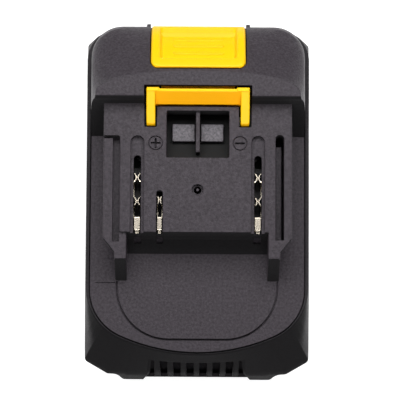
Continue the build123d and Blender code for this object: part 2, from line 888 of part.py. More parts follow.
def make_latch():
    """Button, web, cross bar and hook arms in one moulding."""
    latch = make_button()
    web_low = (-web_half_width, hook_edge_y, web_bottom)
    latch += block(web_low, (web_half_width, button_rear_y + button_rim / 2, web_top))
    bar = [
        (hook_front_y, hook_top),
        (hook_edge_y, hook_top),
        (hook_foot_y, hook_foot_height),
        (hook_foot_y, hook_bottom),
        (hook_front_y, hook_bottom),
    ]
    latch += side_prism(bar, -hook_half_width, hook_half_width)
    arm = [
        (hook_front_y, hook_top),
        (hook_edge_y, hook_top),
        (arm_end_y, arm_end_top),
        (arm_end_y, arm_end_bottom),
        (hook_front_y, hook_bottom),
    ]
    right = side_prism(arm, hook_half_width - hook_arm_width, hook_half_width)
    pad_low = (hook_half_width - hook_pad_width, hook_edge_y, hook_top - wall)
    right += block(pad_low, (hook_half_width, hook_front_y, hook_top + hook_pad_height))
    rib_low = (stop_rib_inner_x, stop_rib_rear_y, web_bottom)
    rib_top = hood_height - wall - fit_gap
    rib_front_y = stop_rib_rear_y + stop_rib_length
    right += block(rib_low, (stop_rib_inner_x + stop_rib_width, rib_front_y, rib_top))
    return latch + right + mirrored(right)


def make_latch_spring(x):
    """One coil spring between the bridge in the upper case and the button."""
    low = shoulder_height + spring_wire_radius
    height = spring_seat_height - fit_gap - spring_wire_radius - low
    path = Pos(x, spring_y, low) * Helix(height / spring_turns, height, spring_radius)
    start = path @ 0
    profile = Plane(origin=start, z_dir=path % 0) * Circle(spring_wire_radius)
    return sweep(profile, path=path)


def make_cell(row, height, nub_side):
    """One cell lying across the pack, its nub towards nub_side."""
    can = Cylinder(cell_radius, can_length, rotation=(0, 90, 0))
    can = Pos(-nub_side * cell_nub_height / 2, 0, 0) * fillet(can.edges(), cell_rim_fillet)
    nub_middle = nub_side * (nub_foot_x + cell_nub_height / 2)
    can += Pos(nub_middle, 0, 0) * Cylinder(cell_nub_radius, cell_nub_height, rotation=(0, 90, 0))
    return Pos(0, cell_ys[row], height) * can


def make_cell_holder(side):
    """The holder for one end of every cell, with posts for the board."""
    rear = cell_ys[0] - holder_corner
    front = cell_ys[-1] + holder_corner
    frame = block((holder_inner_x, rear, wall), (holder_outer_x, front, holder_top))
    frame = fillet(frame.edges().filter_by(Axis.X), holder_corner)
    middle_x = (holder_inner_x + holder_outer_x) / 2
    for y in board_screw_ys:
        frame += post(board_screw_x, y, holder_top - holder_wall, board_bottom, board_boss_radius)
        shaft_low = board_top - board_screw_length
        frame -= post(board_screw_x, y, shaft_low, board_top, board_screw_radius)
    for y in cell_ys:
        for height in cell_heights:
            bore = Cylinder(bore_radius, holder_outer_x, rotation=(0, 90, 0))
            frame -= Pos(middle_x, y, height) * bore
    return frame if side > 0 else mirrored(frame)


def cell_nub_side(row):
    """Which way the cells of a row point: rows alternate along the pack."""
    return 1 if row % 2 else -1


def make_cell_rings():
    """Paper rings round the raised ends of the cells."""
    rings = Part()
    for row, y in enumerate(cell_ys):
        for height in cell_heights:
            x = cell_nub_side(row) * (nub_foot_x + ring_thickness / 2)
            outer_radius = cell_radius - cell_rim_fillet
            ring = Cylinder(outer_radius, ring_thickness, rotation=(0, 90, 0))
            ring -= Cylinder(cell_nub_radius + bore_gap, ring_thickness * 2, rotation=(0, 90, 0))
            rings += Pos(x, y, height) * ring
    return rings


def make_nickel_strips(side, groups):
    """The strips that join the cells at one end, one for each group of rows."""
    strips = Part()
    for first, last in groups:
        low = (strip_x, cell_ys[first] - strip_width / 2, cell_heights[0] - strip_width / 2)
        high = (lead_x, cell_ys[last] + strip_width / 2, cell_heights[-1] + strip_width / 2)
        plate = fillet(block(low, high).edges().filter_by(Axis.X), strip_corner)
        for row in range(first, last + 1):
            for height in cell_heights:
                y = cell_ys[row]
                wide = strip_slot_width / 2
                tall = strip_slot_length / 2
                slot_low = (strip_x - overrun, y - wide, height - tall)
                plate -= block(slot_low, (lead_x + overrun, y + wide, height + tall))
        strips += plate
    return strips if side > 0 else mirrored(strips)


def make_strip_sheet(side):
    """The insulating sheet over one end's strips."""
    rear = cell_ys[0] - holder_corner + sheet_margin
    front = cell_ys[-1] + holder_corner - sheet_margin
    low = (sheet_x, rear, wall + sheet_margin)
    high = (sheet_x + sheet_thickness, front, holder_top - sheet_margin)
    sheet = fillet(block(low, high).edges().filter_by(Axis.X), strip_corner)
    return sheet if side > 0 else mirrored(sheet)


def make_lead(side, cell_y, rise_y):
    """A flat lead from an end strip, over the holder and up to the board."""
    half = lead_width / 2
    shelf_top = lead_shelf_height + strip_thickness
    upright = block((lead_x, cell_y - half, lead_foot_height), (sheet_x, cell_y + half, shelf_top))
    shelf = block((lead_turn_x, cell_y - half, lead_shelf_height), (sheet_x, cell_y + half, shelf_top))
    near = min(cell_y - half, rise_y - lead_rise_width / 2)
    far = max(cell_y + half, rise_y + lead_rise_width / 2)
    run_high = (lead_turn_x + lead_width / 2, far, shelf_top)
    run = block((lead_turn_x, near, lead_shelf_height), run_high)
    rise_low = (lead_rise_x, rise_y - lead_rise_width / 2, lead_shelf_height)
    foot = block(rise_low, (lead_turn_x, rise_y + lead_rise_width / 2, shelf_top))
    rise_high = (lead_rise_x + strip_thickness, rise_y + lead_rise_width / 2, board_bottom)
    lead = upright + shelf + run + foot + block(rise_low, rise_high)
    return lead if side > 0 else mirrored(lead)


def make_circuit_board():
    """The board over the cells, with holes for its screws."""
    low = (-board_half_width, board_rear_y, board_bottom)
    board = round_block(low, (board_half_width, board_front_y, board_top), board_screw_radius)
    for x, y in board_screw_places:
        board -= post(x, y, board_bottom - overrun, board_top + overrun, board_screw_radius + bore_gap)
    return board


def make_board_screws():
    """The pan-head screws that hold the board to the cell holders."""
    screws = Part()
    for x, y in board_screw_places:
        head_top = board_top + board_screw_head_height
        screw = post(x, y, board_top, head_top, board_screw_head_radius)
        screw += post(x, y, board_top - board_screw_length, board_top, board_screw_radius)
        reach = board_screw_head_radius - screw_cross_width
        low = head_top - screw_cross_depth
        line = screw_cross_width / 2
        screw -= block((x - reach, y - line, low), (x + reach, y + line, head_top))
        screw -= block((x - line, y - reach, low), (x + line, y + reach, head_top))
        screws += screw
    return screws


def make_case_screws():
    """The four screws that come up through the base into the upper case."""
    screws = Part()
    for x, y in case_screw_places:
        head_low = screw_recess_depth - screw_head_height
        screw = post(x, y, head_low, screw_recess_depth, screw_head_radius)
        screw += post(x, y, screw_recess_depth, screw_recess_depth + screw_length, screw_shaft_radius)
        reach = screw_head_radius - screw_cross_width
        line = screw_cross_width / 2
        high = head_low + screw_cross_depth
        screw -= block((x - reach, y - line, head_low), (x + reach, y + line, high))
        screw -= block((x - line, y - reach, head_low), (x + line, y + reach, high))
        screws += screw
    return screws


def leaf_waves(length, spread, place_shares, spread_shares):
    """Where a leaf runs: how far along from the base, and how far from the middle."""
    places = [contact_base_front_y + share * length for share in place_shares]
    return list(zip(places, [share * spread for share in spread_shares]))


def make_contact(x, waves, base_half):
    """A spring contact: a folded base and two leaves that pinch a blade between them."""
    low = (x - base_half, contact_base_rear_y, block_top)
    contact = block(low, (x + base_half, contact_base_front_y, contact_base_top))
    inner_half = base_half - leaf_thickness
    gap_low = (x - inner_half, contact_base_rear_y - overrun, block_top + leaf_thickness)
    contact -= block(gap_low, (x + inner_half, contact_base_front_y + overrun, deck_height))
    foot_low = (x - base_half, contact_foot_rear_y, board_top)
    contact += block(foot_low, (x + base_half, contact_base_front_y, block_top))
    for side in (1, -1):
        inner = [(x + side * gap, y) for y, gap in waves]
        outer = [(x + side * (gap + leaf_thickness), y) for y, gap in waves]
        contact += plan_prism(inner + outer[::-1], leaf_foot, leaf_top)
    return contact


def make_contact_block():
    """The pale block on the board that holds the contacts, with three end tips."""
    low_corner = (-board_half_width, block_rear_y, board_top)
    carrier = block(low_corner, (board_half_width, block_front_y, block_top))
    tip_rear_y = deck_end_y + block_tip_gap
    tongue_low = slot_floor_height + block_tip_gap
    tip_top = deck_height - block_tip_drop
    places = [
        (contact_x, contact_base_half),
        (-contact_x, contact_base_half),
        (signal_x, signal_base_half),
    ]
    for x, half in places:
        slot_low = (x - half - bore_gap, contact_foot_rear_y - bore_gap, board_top)
        carrier -= block(slot_low, (x + half + bore_gap, contact_base_front_y + bore_gap, block_top))
        carrier += block((x - half, tip_rear_y, tongue_low), (x + half, block_rear_y, block_top))
        tip_high = (x + half, tip_rear_y + block_tip_length, tip_top)
        carrier += block((x - half, tip_rear_y, tongue_low), tip_high)
    return carrier


def make_port_blocks():
    """The two pale blocks that stand on the board inside the deck's window."""
    inner = window_rib_width / 2 + fit_gap
    middle = (port_block_rear_y + port_block_front_y) / 2
    low = (inner, port_block_rear_y, board_top)
    port = block(low, (inner + port_block_width, port_block_front_y, port_block_top))
    slot = port_block_slot / 2
    slot_low = (inner + port_block_slot, middle - slot, port_block_top - port_block_slot)
    slot_high = (inner + port_block_width - port_block_slot, middle + slot, port_block_top)
    port -= block(slot_low, slot_high)
    return port + mirrored(port)


def board_place(shares):
    """A place on the board's front part, from shares of its half width and of that part's length."""
    length = board_front_y - port_block_front_y
    return shares[0] * board_half_width, port_block_front_y + shares[1] * length


def on_board(size, x, y):
    """A plain box-shaped component that stands on the board."""
    width, depth, height = size
    low = (x - width / 2, y - depth / 2, board_top)
    return block(low, (x + width / 2, y + depth / 2, board_top + height))


def make_power_transistors():
    """The row of power transistors in front of the contact block."""
    row = Part()
    for index in range(transistor_count):
        x = (index - (transistor_count - 1) / 2) * transistor_pitch
        row += on_board(transistor_size, x, transistor_y)
    return row


def make_capacitors():
    """The small round capacitors on the board."""
    group = Part()
    for x, y in map(board_place, capacitor_place_shares):
        group += post(x, y, board_top, board_top + capacitor_height, capacitor_radius)
    return group


def make_barrier_sheet():
    """The thin sheet that keeps the board's underside off the cells."""
    low = (-barrier_half_width, board_rear_y, holder_top)
    return block(low, (barrier_half_width, board_front_y, holder_top + barrier_thickness))


def make_foam_pads():
    """Foam between the cell holders and the shoulder plate, two pads each side."""
    rear_start = holder_rear_y + foam_rear_margin
    front_start = holder_front_y - foam_front_margin - foam_front_length
    pads = Part()
    for start, length in ((rear_start, foam_rear_length), (front_start, foam_front_length)):
        high = (foam_inner_x + foam_width, start + length, plate_bottom)
        pads += block((foam_inner_x, start, holder_top), high)
    return pads + mirrored(pads)


def make_all():
    """Every sub-part under its name."""
    power_waves = leaf_waves(leaf_length, leaf_spread, leaf_place_shares, leaf_spread_shares)
    signal_waves = leaf_waves(
        signal_leaf_length, signal_leaf_spread, signal_place_shares, signal_spread_shares
    )
    parts = {
        "lower_case": make_lower_case(),
        "upper_case": make_upper_case(),
        "latch": make_latch(),
        "latch_spring_left": make_latch_spring(-spring_x),
        "latch_spring_right": make_latch_spring(spring_x),
        "cell_holder_left": make_cell_holder(-1),
        "cell_holder_right": make_cell_holder(1),
        "cell_rings": make_cell_rings(),
        "nickel_strips_left": make_nickel_strips(-1, [(0, 1), (2, 3), (4, 4)]),
        "nickel_strips_right": make_nickel_strips(1, [(0, 0), (1, 2), (3, 4)]),
        "strip_sheet_left": make_strip_sheet(-1),
        "strip_sheet_right": make_strip_sheet(1),
        "lead_positive": make_lead(-1, cell_ys[-1] - lead_offset, lead_left_rise_y),
        "lead_negative": make_lead(1, cell_ys[0] + lead_offset, lead_right_rise_y),
        "circuit_board": make_circuit_board(),
        "control_chip": on_board(chip_size, 0, chip_y),
        "power_transistors": make_power_transistors(),
        "capacitors": make_capacitors(),
        "fuse": on_board(fuse_size, *board_place(fuse_place_shares)),
        "contact_positive": make_contact(-contact_x, power_waves, contact_base_half),
        "contact_negative": make_contact(contact_x, power_waves, contact_base_half),
        "contact_signal": make_contact(signal_x, signal_waves, signal_base_half),
        "contact_block": make_contact_block(),
        "port_blocks": make_port_blocks(),
        "barrier_sheet": make_barrier_sheet(),
        "foam_pads": make_foam_pads(),
        "board_screws": make_board_screws(),
        "case_screws": make_case_screws(),
    }
    for layer, height in enumerate(cell_heights):
        for row in range(cells_per_row):
            name = f"cell_{layer * cells_per_row + row + 1}"
            parts[name] = make_cell(row, height, cell_nub_side(row))
    return parts


os.makedirs("parts", exist_ok=True)
for part_name, shape in make_all().items():
    export_step(shape, f"parts/{part_name}.step")
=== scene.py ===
"""A slide-on battery pack for a cordless tool: finishes, rounded shells and the studio round it."""

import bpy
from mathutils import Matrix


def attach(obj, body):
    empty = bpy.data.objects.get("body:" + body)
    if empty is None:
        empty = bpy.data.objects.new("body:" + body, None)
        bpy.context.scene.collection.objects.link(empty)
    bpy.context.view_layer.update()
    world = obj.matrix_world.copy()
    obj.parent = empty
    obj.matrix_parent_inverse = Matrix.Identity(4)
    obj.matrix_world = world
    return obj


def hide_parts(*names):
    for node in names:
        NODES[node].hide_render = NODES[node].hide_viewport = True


bl_info = {
    "name": "Cordless Tool Battery Pack",
    "version": (1, 0, 0),
    "blender": (4, 5, 0),
    "location": "View3D > Sidebar > Battery Pack",
    "description": "Rounded shells, finishes and studio for a slide-on battery pack",
    "category": "Object",
}

import math

import bmesh
import bpy
from bpy.props import FloatProperty, FloatVectorProperty, PointerProperty
from mathutils import Matrix, Vector

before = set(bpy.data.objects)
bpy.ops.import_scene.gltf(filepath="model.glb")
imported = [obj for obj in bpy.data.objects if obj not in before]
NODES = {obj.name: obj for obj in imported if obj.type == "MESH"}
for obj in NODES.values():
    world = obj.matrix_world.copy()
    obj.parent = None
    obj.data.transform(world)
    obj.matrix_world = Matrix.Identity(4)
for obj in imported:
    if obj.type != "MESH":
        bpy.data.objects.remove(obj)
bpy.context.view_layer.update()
MADE = {}
MM = 0.001
PICTURE_SIDE = 400

# Sizes of the pack's frame, in millimetres, as the CAD part has them
WALL = 2.2
FIT_GAP = 0.3
SHOULDER = 44.0
PLATE_FOOT = 41.8
BOARD_TOP = 44.6
DECK = 58.0
DECK_REAR = -13.4
HOOD = 64.0
SHOULDER_HALF = 35.5
SHOULDER_FRONT = 56.7
SHOULDER_REAR = -51.4
REAR_CORNER = 17.0
REAR_ARC = 62.0
FRONT_CORNER = 10.5
HALF_LENGTH = 57.5
SCREW_PLACES = ((13.0, -47.2), (-13.0, -47.2), (22.0, 53.3), (-22.0, 53.3))
SPRING_PLACE = (8.0, 45.5)
POWER_X = 19.6
SIGNAL_X = -12.3
CONTACT_PLACES = (POWER_X, -POWER_X, SIGNAL_X)
MARK_X = 13.7

# Rounded and smaller forms that only the scene has, in millimetres
HOOD_ROUND = 1.4
HOOD_ROUND_FOOT = HOOD - HOOD_ROUND
HOOD_ARCH = 0.87
HOOD_BACK = 29.6
SLOPE_PLACES = (0.0, 0.35, 0.7, 1.0)
SLOPE_SHARES = (0.0, 0.067, 0.393, 1.0)
LEFT_DROP = 0.8
EDGE = 0.4
BASE_ROUND = 1.4
BELT = 27.5
BELT_ROUND = 2.2
RIM_ROUND = 0.5
BUTTON_HALF = 15.4
BUTTON_REAR = 39.8
BUTTON_FOOT = 50.9
BUTTON_EDGE = 0.9
BUTTON_CORNER = 3.0
BUTTON_COLUMNS = 88
CORNER_ROWS = 9
SCOOP_DEPTH = 1.9
SCOOP_HALF = 12.9
SCOOP_ENDS = (42.9, 55.4)
SCOOP_CORNER = 1.8
SCOOP_SIDE = 1.35
ARM_END = 21.7
LEAF_REAR = -8.2
LEAF_STEP = 0.22
ROUND_STEPS = 5
POST_SIDES = 24
RING_SIDES = 32
OVERRUN = 2.0
CLEAN_DISTANCE = 0.002
SEARCH_STEP = 0.01
CLOSEST_ANGLE = 0.002

# Shares and depths of the finishes
CASE_TONES = (0.6, 1.4)
CASE_BUMP = 0.11 * MM
CASE_SHINE = 0.15
# Painted highlight: how far the colour turns lighter on the rounded edges, and how much lighter.
EDGE_HIGHLIGHT = 0.25
EDGE_HIGHLIGHT_GAIN = 2.2
REAR_DULLNESS = 0.45
PITTING = 0.05
FLOOR_GLOW = 0.75


def colour_prop(name, description, default):
    """A colour that a user can change, in the scene's linear values."""
    return FloatVectorProperty(
        name=name, description=description, subtype="COLOR", size=3, min=0.0, max=1.0, default=default
    )


def number_prop(name, description, default, **kinds):
    """A number that a user can change."""
    return FloatProperty(name=name, description=description, default=default, **kinds)


def length_prop(name, description, default):
    """A length that a user can change."""
    return number_prop(name, description, default, subtype="DISTANCE", unit="LENGTH")


def angle_prop(name, description, degrees):
    """An angle that a user can change."""
    return number_prop(name, description, math.radians(degrees), subtype="ANGLE", unit="ROTATION")


class PlasticSettings(bpy.types.PropertyGroup):
    """Colours, painted shades and grain of the pack's mouldings."""

    case_colour: colour_prop("Case", "Charcoal of the upper case", (0.044, 0.0376, 0.0445))
    # Painted shade: the near-black colour that the steep rear-facing faces turn to.
    rear_shade_colour: colour_prop("Slopes", "Painted shade on the steep rear-facing slopes", (0.006, 0.0055, 0.0062))
    # Painted shade: the case charcoal made darker for the lower case, which lies lower and gets less light.
    lower_shaded_colour: colour_prop("Lower case", "Case charcoal darkened as painted shade on the lower case", (0.023, 0.0208, 0.0233))
    latch_colour: colour_prop("Latch", "Yellow of the latch", (1.0, 0.58, 0.0005))
    # Painted shade: the deeper yellow that the latch's rear-facing faces turn to.
    latch_shade: colour_prop("Latch shade", "Painted shade: deeper yellow on the latch's rear-facing side", (1.0, 0.45, 0.001))
    grain_size: length_prop("Grain", "Width of one pit of the moulded grain", 0.45 * MM)
    mottle_size: length_prop("Mottle", "Width of one cloud of lighter and darker plastic", 0.8 * MM)
    edge_radius: length_prop("Edge radius", "Radius that the moulded edges catch the light with", 0.3 * MM)


class MetalSettings(bpy.types.PropertyGroup):
    """Colours of the contacts, strips, springs and screws."""

    contact_colour: colour_prop("Contacts", "Plated copper of the contacts", (0.56, 0.505, 0.42))
    nickel_colour: colour_prop("Nickel", "Nickel of the cell strips", (0.58, 0.56, 0.52))
    steel_colour: colour_prop("Screws", "Dark zinc on the screws", (0.30, 0.30, 0.31))
    spring_colour: colour_prop("Springs", "Bright steel of the latch springs", (0.55, 0.55, 0.57))


class StudioSettings(bpy.types.PropertyGroup):
    """Camera, lamps and floor."""

    camera_distance: length_prop("Distance", "From the camera to the point it looks at", 800.0 * MM)
    camera_height: angle_prop("Elevation", "Camera angle above the floor", 82.0)
    camera_roll: angle_prop("Roll", "Turn of the picture about the line of sight", 0.34)
    focal_pixels: number_prop("Focal length", "Focal length in picture pixels", 2416.0)
    look_height: length_prop("Look height", "Height of the point that the camera looks at", 40.0 * MM)
    look_pixel_x: number_prop("Look pixel x", "Where that point lies in the picture", 197.5)
    look_pixel_y: number_prop("Look pixel y", "Where that point lies in the picture", 199.4)
    key_power: number_prop("Key lamp", "Power of the soft lamp overhead", 2.05)
    side_power: number_prop("Side lamps", "Power of each strip lamp at the sides", 1.6)
    rear_power: number_prop("Rear lamp", "Power of the fill from the rear", 7.8)
    floor_colour: colour_prop("Floor", "Pale floor", (0.6, 0.6, 0.6))


def set_inputs(tree, node, sockets):
    """Gives a node's inputs their values, and links those that come from other sockets."""
    for name, value in sockets.items():
        if isinstance(value, bpy.types.NodeSocket):
            tree.links.new(value, node.inputs[name])
        else:
            node.inputs[name].default_value = value


def add_node(tree, kind, sockets=None, **settings):
    """A node with its settings and its inputs."""
    node = tree.nodes.new(kind)
    for name, value in settings.items():
        setattr(node, name, value)
    set_inputs(tree, node, sockets or {})
    return node


def new_tree(name, kind, inputs, outputs):
    """An empty node group with its inputs and outputs, each a name and a socket kind."""
    tree = bpy.data.node_groups.new(name, kind)
    for side, sockets in (("INPUT", inputs), ("OUTPUT", outputs)):
        for label, socket in sockets.items():
            tree.interface.new_socket(label, in_out=side, socket_type="NodeSocket" + socket)
    return tree, tree.nodes.new("NodeGroupInput").outputs, tree.nodes.new("NodeGroupOutput")


def math_node(tree, operation, first, second=0.5, clamp=False):
    """The result of one sum."""
    sockets = {0: first, 1: second}
    return add_node(tree, "ShaderNodeMath", sockets, operation=operation, use_clamp=clamp).outputs[0]


def map_range(tree, value, low, high, to_low=0.0, to_high=1.0):
    """A value stretched from one range to another."""
    sockets = {"Value": value, "From Min": low, "From Max": high, "To Min": to_low, "To Max": to_high}
    return add_node(tree, "ShaderNodeMapRange", sockets).outputs[0]


def mix_colour(tree, factor, first, second):
    """Two colours mixed by a factor."""
    return add_node(tree, "ShaderNodeMix", {0: factor, 6: first, 7: second}, data_type="RGBA").outputs[2]


def grain_group():
    """Moulded grain: a fine height for the bump and a cloudy tone for the colour."""
    scales = {"Grain Scale": "Float", "Mottle Scale": "Float"}
    results = {"Height": "Float", "Tone": "Float"}
    tree, start, end = new_tree("Moulded Grain", "ShaderNodeTree", scales, results)
    place = add_node(tree, "ShaderNodeTexCoord").outputs["Object"]
    noises = []
    for scale, detail, roughness in (("Grain Scale", 3.0, 0.6), ("Mottle Scale", 4.0, 0.65)):
        sockets = {"Vector": place, "Scale": start[scale], "Detail": detail, "Roughness": roughness}
        noises.append(add_node(tree, "ShaderNodeTexNoise", sockets).outputs[0])
    set_inputs(tree, end, {"Height": noises[0], "Tone": map_range(tree, noises[1], 0.3, 0.7)})
    return tree


def edge_group():
    """Softened edges: the normal of a rounded edge, and a mask that is 1 on it."""
    outputs = {"Normal": "Vector", "Mask": "Float"}
    tree, start, end = new_tree("Soft Edge", "ShaderNodeTree", {"Radius": "Float"}, outputs)
    bevel = add_node(tree, "ShaderNodeBevel", {"Radius": start["Radius"]}, samples=6).outputs[0]
    true_normal = add_node(tree, "ShaderNodeNewGeometry").outputs["Normal"]
    dot = add_node(tree, "ShaderNodeVectorMath", {0: bevel, 1: true_normal}, operation="DOT_PRODUCT")
    set_inputs(tree, end, {"Normal": bevel, "Mask": map_range(tree, dot.outputs["Value"], 0.99, 0.8)})
    return tree


def facing_group():
    """How far a surface turns to the rear of the pack, from 0 to 1; it sets where the painted shade falls."""
    limits = {"Start": "Float", "Full": "Float"}
    tree, start, end = new_tree("Rear Facing", "ShaderNodeTree", limits, {"Mask": "Float"})
    normal = add_node(tree, "ShaderNodeTexCoord").outputs["Normal"]
    parts = add_node(tree, "ShaderNodeSeparateXYZ", {"Vector": normal}).outputs
    rear = math_node(tree, "MULTIPLY", parts["Y"], -1.0)
    sockets = {"Value": rear, "From Min": start["Start"], "From Max": start["Full"]}
    mask = add_node(tree, "ShaderNodeMapRange", sockets, interpolation_type="SMOOTHSTEP")
    set_inputs(tree, end, {"Mask": mask.outputs[0]})
    return tree


def shared(maker):
    """The node group that a function makes, made only once."""
    if maker not in MADE:
        MADE[maker] = maker()
    return MADE[maker]


def place_group(tree, maker, sockets):
    """A shared group placed in a material with its own values."""
    return add_node(tree, "ShaderNodeGroup", sockets, node_tree=shared(maker)).outputs


def rgba(colour, gain=1.0):
    """A colour with its alpha, made lighter or darker by gain."""
    return (*[min(1.0, part * gain) for part in colour], 1.0)


def grained(
    name, colour, plastic, roughness=0.5, metallic=0.0, tones=(0.92, 1.08), bump=0.01 * MM, specular=0.5,
    cloud=1.0, shade=None, steep=(0.22, 0.5), edge_highlight_and_pits=True,
):
    """A cloudy colour with fine grain; given a painted shade colour, also the soft edges of a moulding, a
    painted highlight on those edges and painted shade on its rear-facing faces.
    """
    material = bpy.data.materials.new(name)
    material.use_nodes = True
    tree = material.node_tree
    scales = {"Grain Scale": 1.0 / plastic.grain_size, "Mottle Scale": cloud / plastic.mottle_size}
    grain = place_group(tree, grain_group, scales)
    tone = mix_colour(tree, grain["Tone"], rgba(colour, tones[0]), rgba(colour, tones[1]))
    pits = {"Height": grain["Height"], "Distance": bump, "Strength": 1.0}
    values = {"Roughness": roughness, "Metallic": metallic, "Specular IOR Level": specular}
    if shade is not None:
        edge = place_group(tree, edge_group, {"Radius": plastic.edge_radius})
        facing = place_group(tree, facing_group, {"Start": steep[0], "Full": steep[1]})["Mask"]
        pits["Normal"] = edge["Normal"]
        if edge_highlight_and_pits:
            # Painted highlight: the colour is lighter on the rounded edges; the roughness below is pitted
            # with the grain and duller on the rear faces.
            highlight_share = math_node(tree, "MULTIPLY", edge["Mask"], EDGE_HIGHLIGHT)
            tone = mix_colour(tree, highlight_share, tone, rgba(colour, EDGE_HIGHLIGHT_GAIN))
            pitted = map_range(tree, grain["Tone"], 0.0, 1.0, roughness + PITTING, roughness - PITTING)
            dull = math_node(tree, "MULTIPLY", facing, REAR_DULLNESS)
            values["Roughness"] = math_node(tree, "ADD", pitted, dull, True)
        # Painted shade: the colour turns to the dark shade colour as the surface faces the rear.
        tone = mix_colour(tree, facing, tone, rgba(shade))
    values["Base Color"] = tone
    values["Normal"] = add_node(tree, "ShaderNodeBump", pits).outputs[0]
    set_inputs(tree, tree.nodes["Principled BSDF"], values)
    return material


def arc_points(centre, start, end, steps):
    """Points on an arc from start to end round a centre, the short way."""
    first = math.atan2(start[1] - centre[1], start[0] - centre[0])
    last = math.atan2(end[1] - centre[1], end[0] - centre[0])
    turn = (last - first + math.pi) % (2 * math.pi) - math.pi
    reach = math.dist(centre, start)
    angles = [first + turn * step / steps for step in range(steps + 1)]
    return [(centre[0] + reach * math.cos(angle), centre[1] + reach * math.sin(angle)) for angle in angles]


def outline(corners, steps=6):
    """A closed outline through corners, each given as x, y and, where it is rounded, its radius."""
    points = []
    for index, (x, y, *rest) in enumerate(corners):
        if not any(rest):
            points.append((x, y))
            continue
        corner = Vector((x, y))
        radius = rest[0]
        back = (Vector(corners[index - 1][:2]) - corner).normalized()
        onward = (Vector(corners[(index + 1) % len(corners)][:2]) - corner).normalized()
        half = back.angle(onward) / 2
        reach = radius / math.tan(half)
        centre = corner + (back + onward).normalized() * radius / math.sin(half)
        points += arc_points(centre, corner + back * reach, corner + onward * reach, steps)
    return points


def rectangle(left, rear, right, front, radius=0.0):
    """The corners of a rectangle, counter-clockwise."""
    corners = ((left, rear), (right, rear), (right, front), (left, front))
    return outline([(x, y, radius) for x, y in corners])


def moved_in(points, distance):
    """A counter-clockwise outline moved inwards, or outwards by a negative distance."""
    moved = []
    for index, point in enumerate(points):
        here = Vector(point)
        before = (here - Vector(points[index - 1])).normalized()
        after = (Vector(points[(index + 1) % len(points)]) - here).normalized()
        left_before = Vector((-before.y, before.x))
        left_after = Vector((-after.y, after.x))
        share = 1.0 + left_before.dot(left_after)
        moved.append(tuple(here + (left_before + left_after) * distance / max(share, 0.2)))
    return moved


def both_sides(points):
    """Points on the right, followed by their mirror images on the left in reverse order."""
    return points + [(-x, *rest) for x, *rest in points[::-1]]


def corner_arc(side, front, radius, steps):
    """Points round a right front corner."""
    return arc_points((side - radius, front - radius), (side, front - radius), (side - radius, front), steps)


def circle(x, y, radius, steps):
    """Points round a circle."""
    angles = [2 * math.pi * step / steps for step in range(steps)]
    return [(x + radius * math.cos(angle), y + radius * math.sin(angle)) for angle in angles]


def quarter(steps=ROUND_STEPS):
    """How far in and how far up the steps of a rounded edge lie, as shares of its radius."""
    angles = [math.pi / 2 * step / steps for step in range(1, steps + 1)]
    return [(1 - math.cos(angle), math.sin(angle)) for angle in angles]


def join_loops(shape, loops):
    """Faces between each closed loop of vertices and the next."""
    for low, high in zip(loops, loops[1:]):
        for index in range(len(low)):
            following = (index + 1) % len(low)
            shape.faces.new((low[index], low[following], high[following], high[index]))


def capped(shape, loops):
    """A closed solid through loops of vertices."""
    join_loops(shape, loops)
    shape.faces.new(loops[0][::-1])
    shape.faces.new(loops[-1])
    return shape


def solid(rings, axis="Z"):
    """A closed solid through rings of points, each a list of points and a height along the axis."""
    order = {"X": (2, 0, 1), "Y": (0, 2, 1), "Z": (0, 1, 2)}[axis]
    shape = bmesh.new()
    loops = []
    for points, height in rings:
        places = [(*point, height) for point in points]
        loops.append([shape.verts.new([place[index] for index in order]) for place in places])
    return capped(shape, loops)


def raised(points, low, high, top=0.0, foot=0.0, axis="Z"):
    """A solid on an outline, its upper and lower edges rounded to a radius."""
    rings = []
    if foot:
        rings += [(moved_in(points, foot * across), low + foot * (1 - up)) for across, up in quarter()[::-1]]
    rings += [(points, low + foot), (points, high - top)]
    if top:
        rings += [(moved_in(points, top * across), high - top + top * up) for across, up in quarter()]
    return solid(rings, axis)


def mouth(points, low, high, lip=0.3):
    """A cutter whose upper end flares, so that the hole it leaves has a rounded mouth."""
    rings = [(points, low), (points, high - lip)]
    rings += [(moved_in(points, -lip * across), high - lip + lip * up) for across, up in quarter()]
    rings.append((rings[-1][0], high + OVERRUN))
    return solid(rings)


def box(low, high):
    """A plain block between two corners."""
    return raised(rectangle(*low[:2], *high[:2]), low[2], high[2])


def post(x, y, low, high, radius):
    """A round post."""
    return raised(circle(x, y, radius, POST_SIDES), low, high)


def screw_posts(low, high, radius):
    """A round post at each case screw."""
    return [post(x, y, low, high, radius) for x, y in SCREW_PLACES]


def slot_points(x, width, front):
    """A slot that is open at the deck's end and round at its front."""
    half = width / 2
    rear = DECK_REAR - OVERRUN
    round_end = half * 0.98
    return outline([
        (x - half, rear), (x + half, rear), (x + half, front, round_end), (x - half, front, round_end),
    ])


def ring_cutter(x, y, outer, inner, low, high):
    """An upright tube, for a round engraved line."""
    shape = bmesh.new()
    loops = []
    for radius, height in ((outer, low), (outer, high), (inner, high), (inner, low)):
        loops.append([shape.verts.new((*point, height)) for point in circle(x, y, radius, RING_SIDES)])
    join_loops(shape, loops + loops[:1])
    return shape


def placed(name, data):
    """An object for a mesh, lamp or camera, linked to the scene."""
    item = bpy.data.objects.new(name, data)
    bpy.context.scene.collection.objects.link(item)
    return item


def as_mesh(shape, name="Scratch"):
    """A mesh from a bmesh."""
    mesh = bpy.data.meshes.new(name)
    shape.to_mesh(mesh)
    shape.free()
    return mesh


def as_object(shape):
    """A mesh object from a bmesh, with its faces pointing outwards."""
    bmesh.ops.recalc_face_normals(shape, faces=shape.faces)
    return placed("Scratch", as_mesh(shape))


def in_metres(shape):
    """An object from a bmesh in millimetres, brought to metres."""
    bmesh.ops.scale(shape, vec=(MM, MM, MM), verts=shape.verts)
    return as_object(shape)


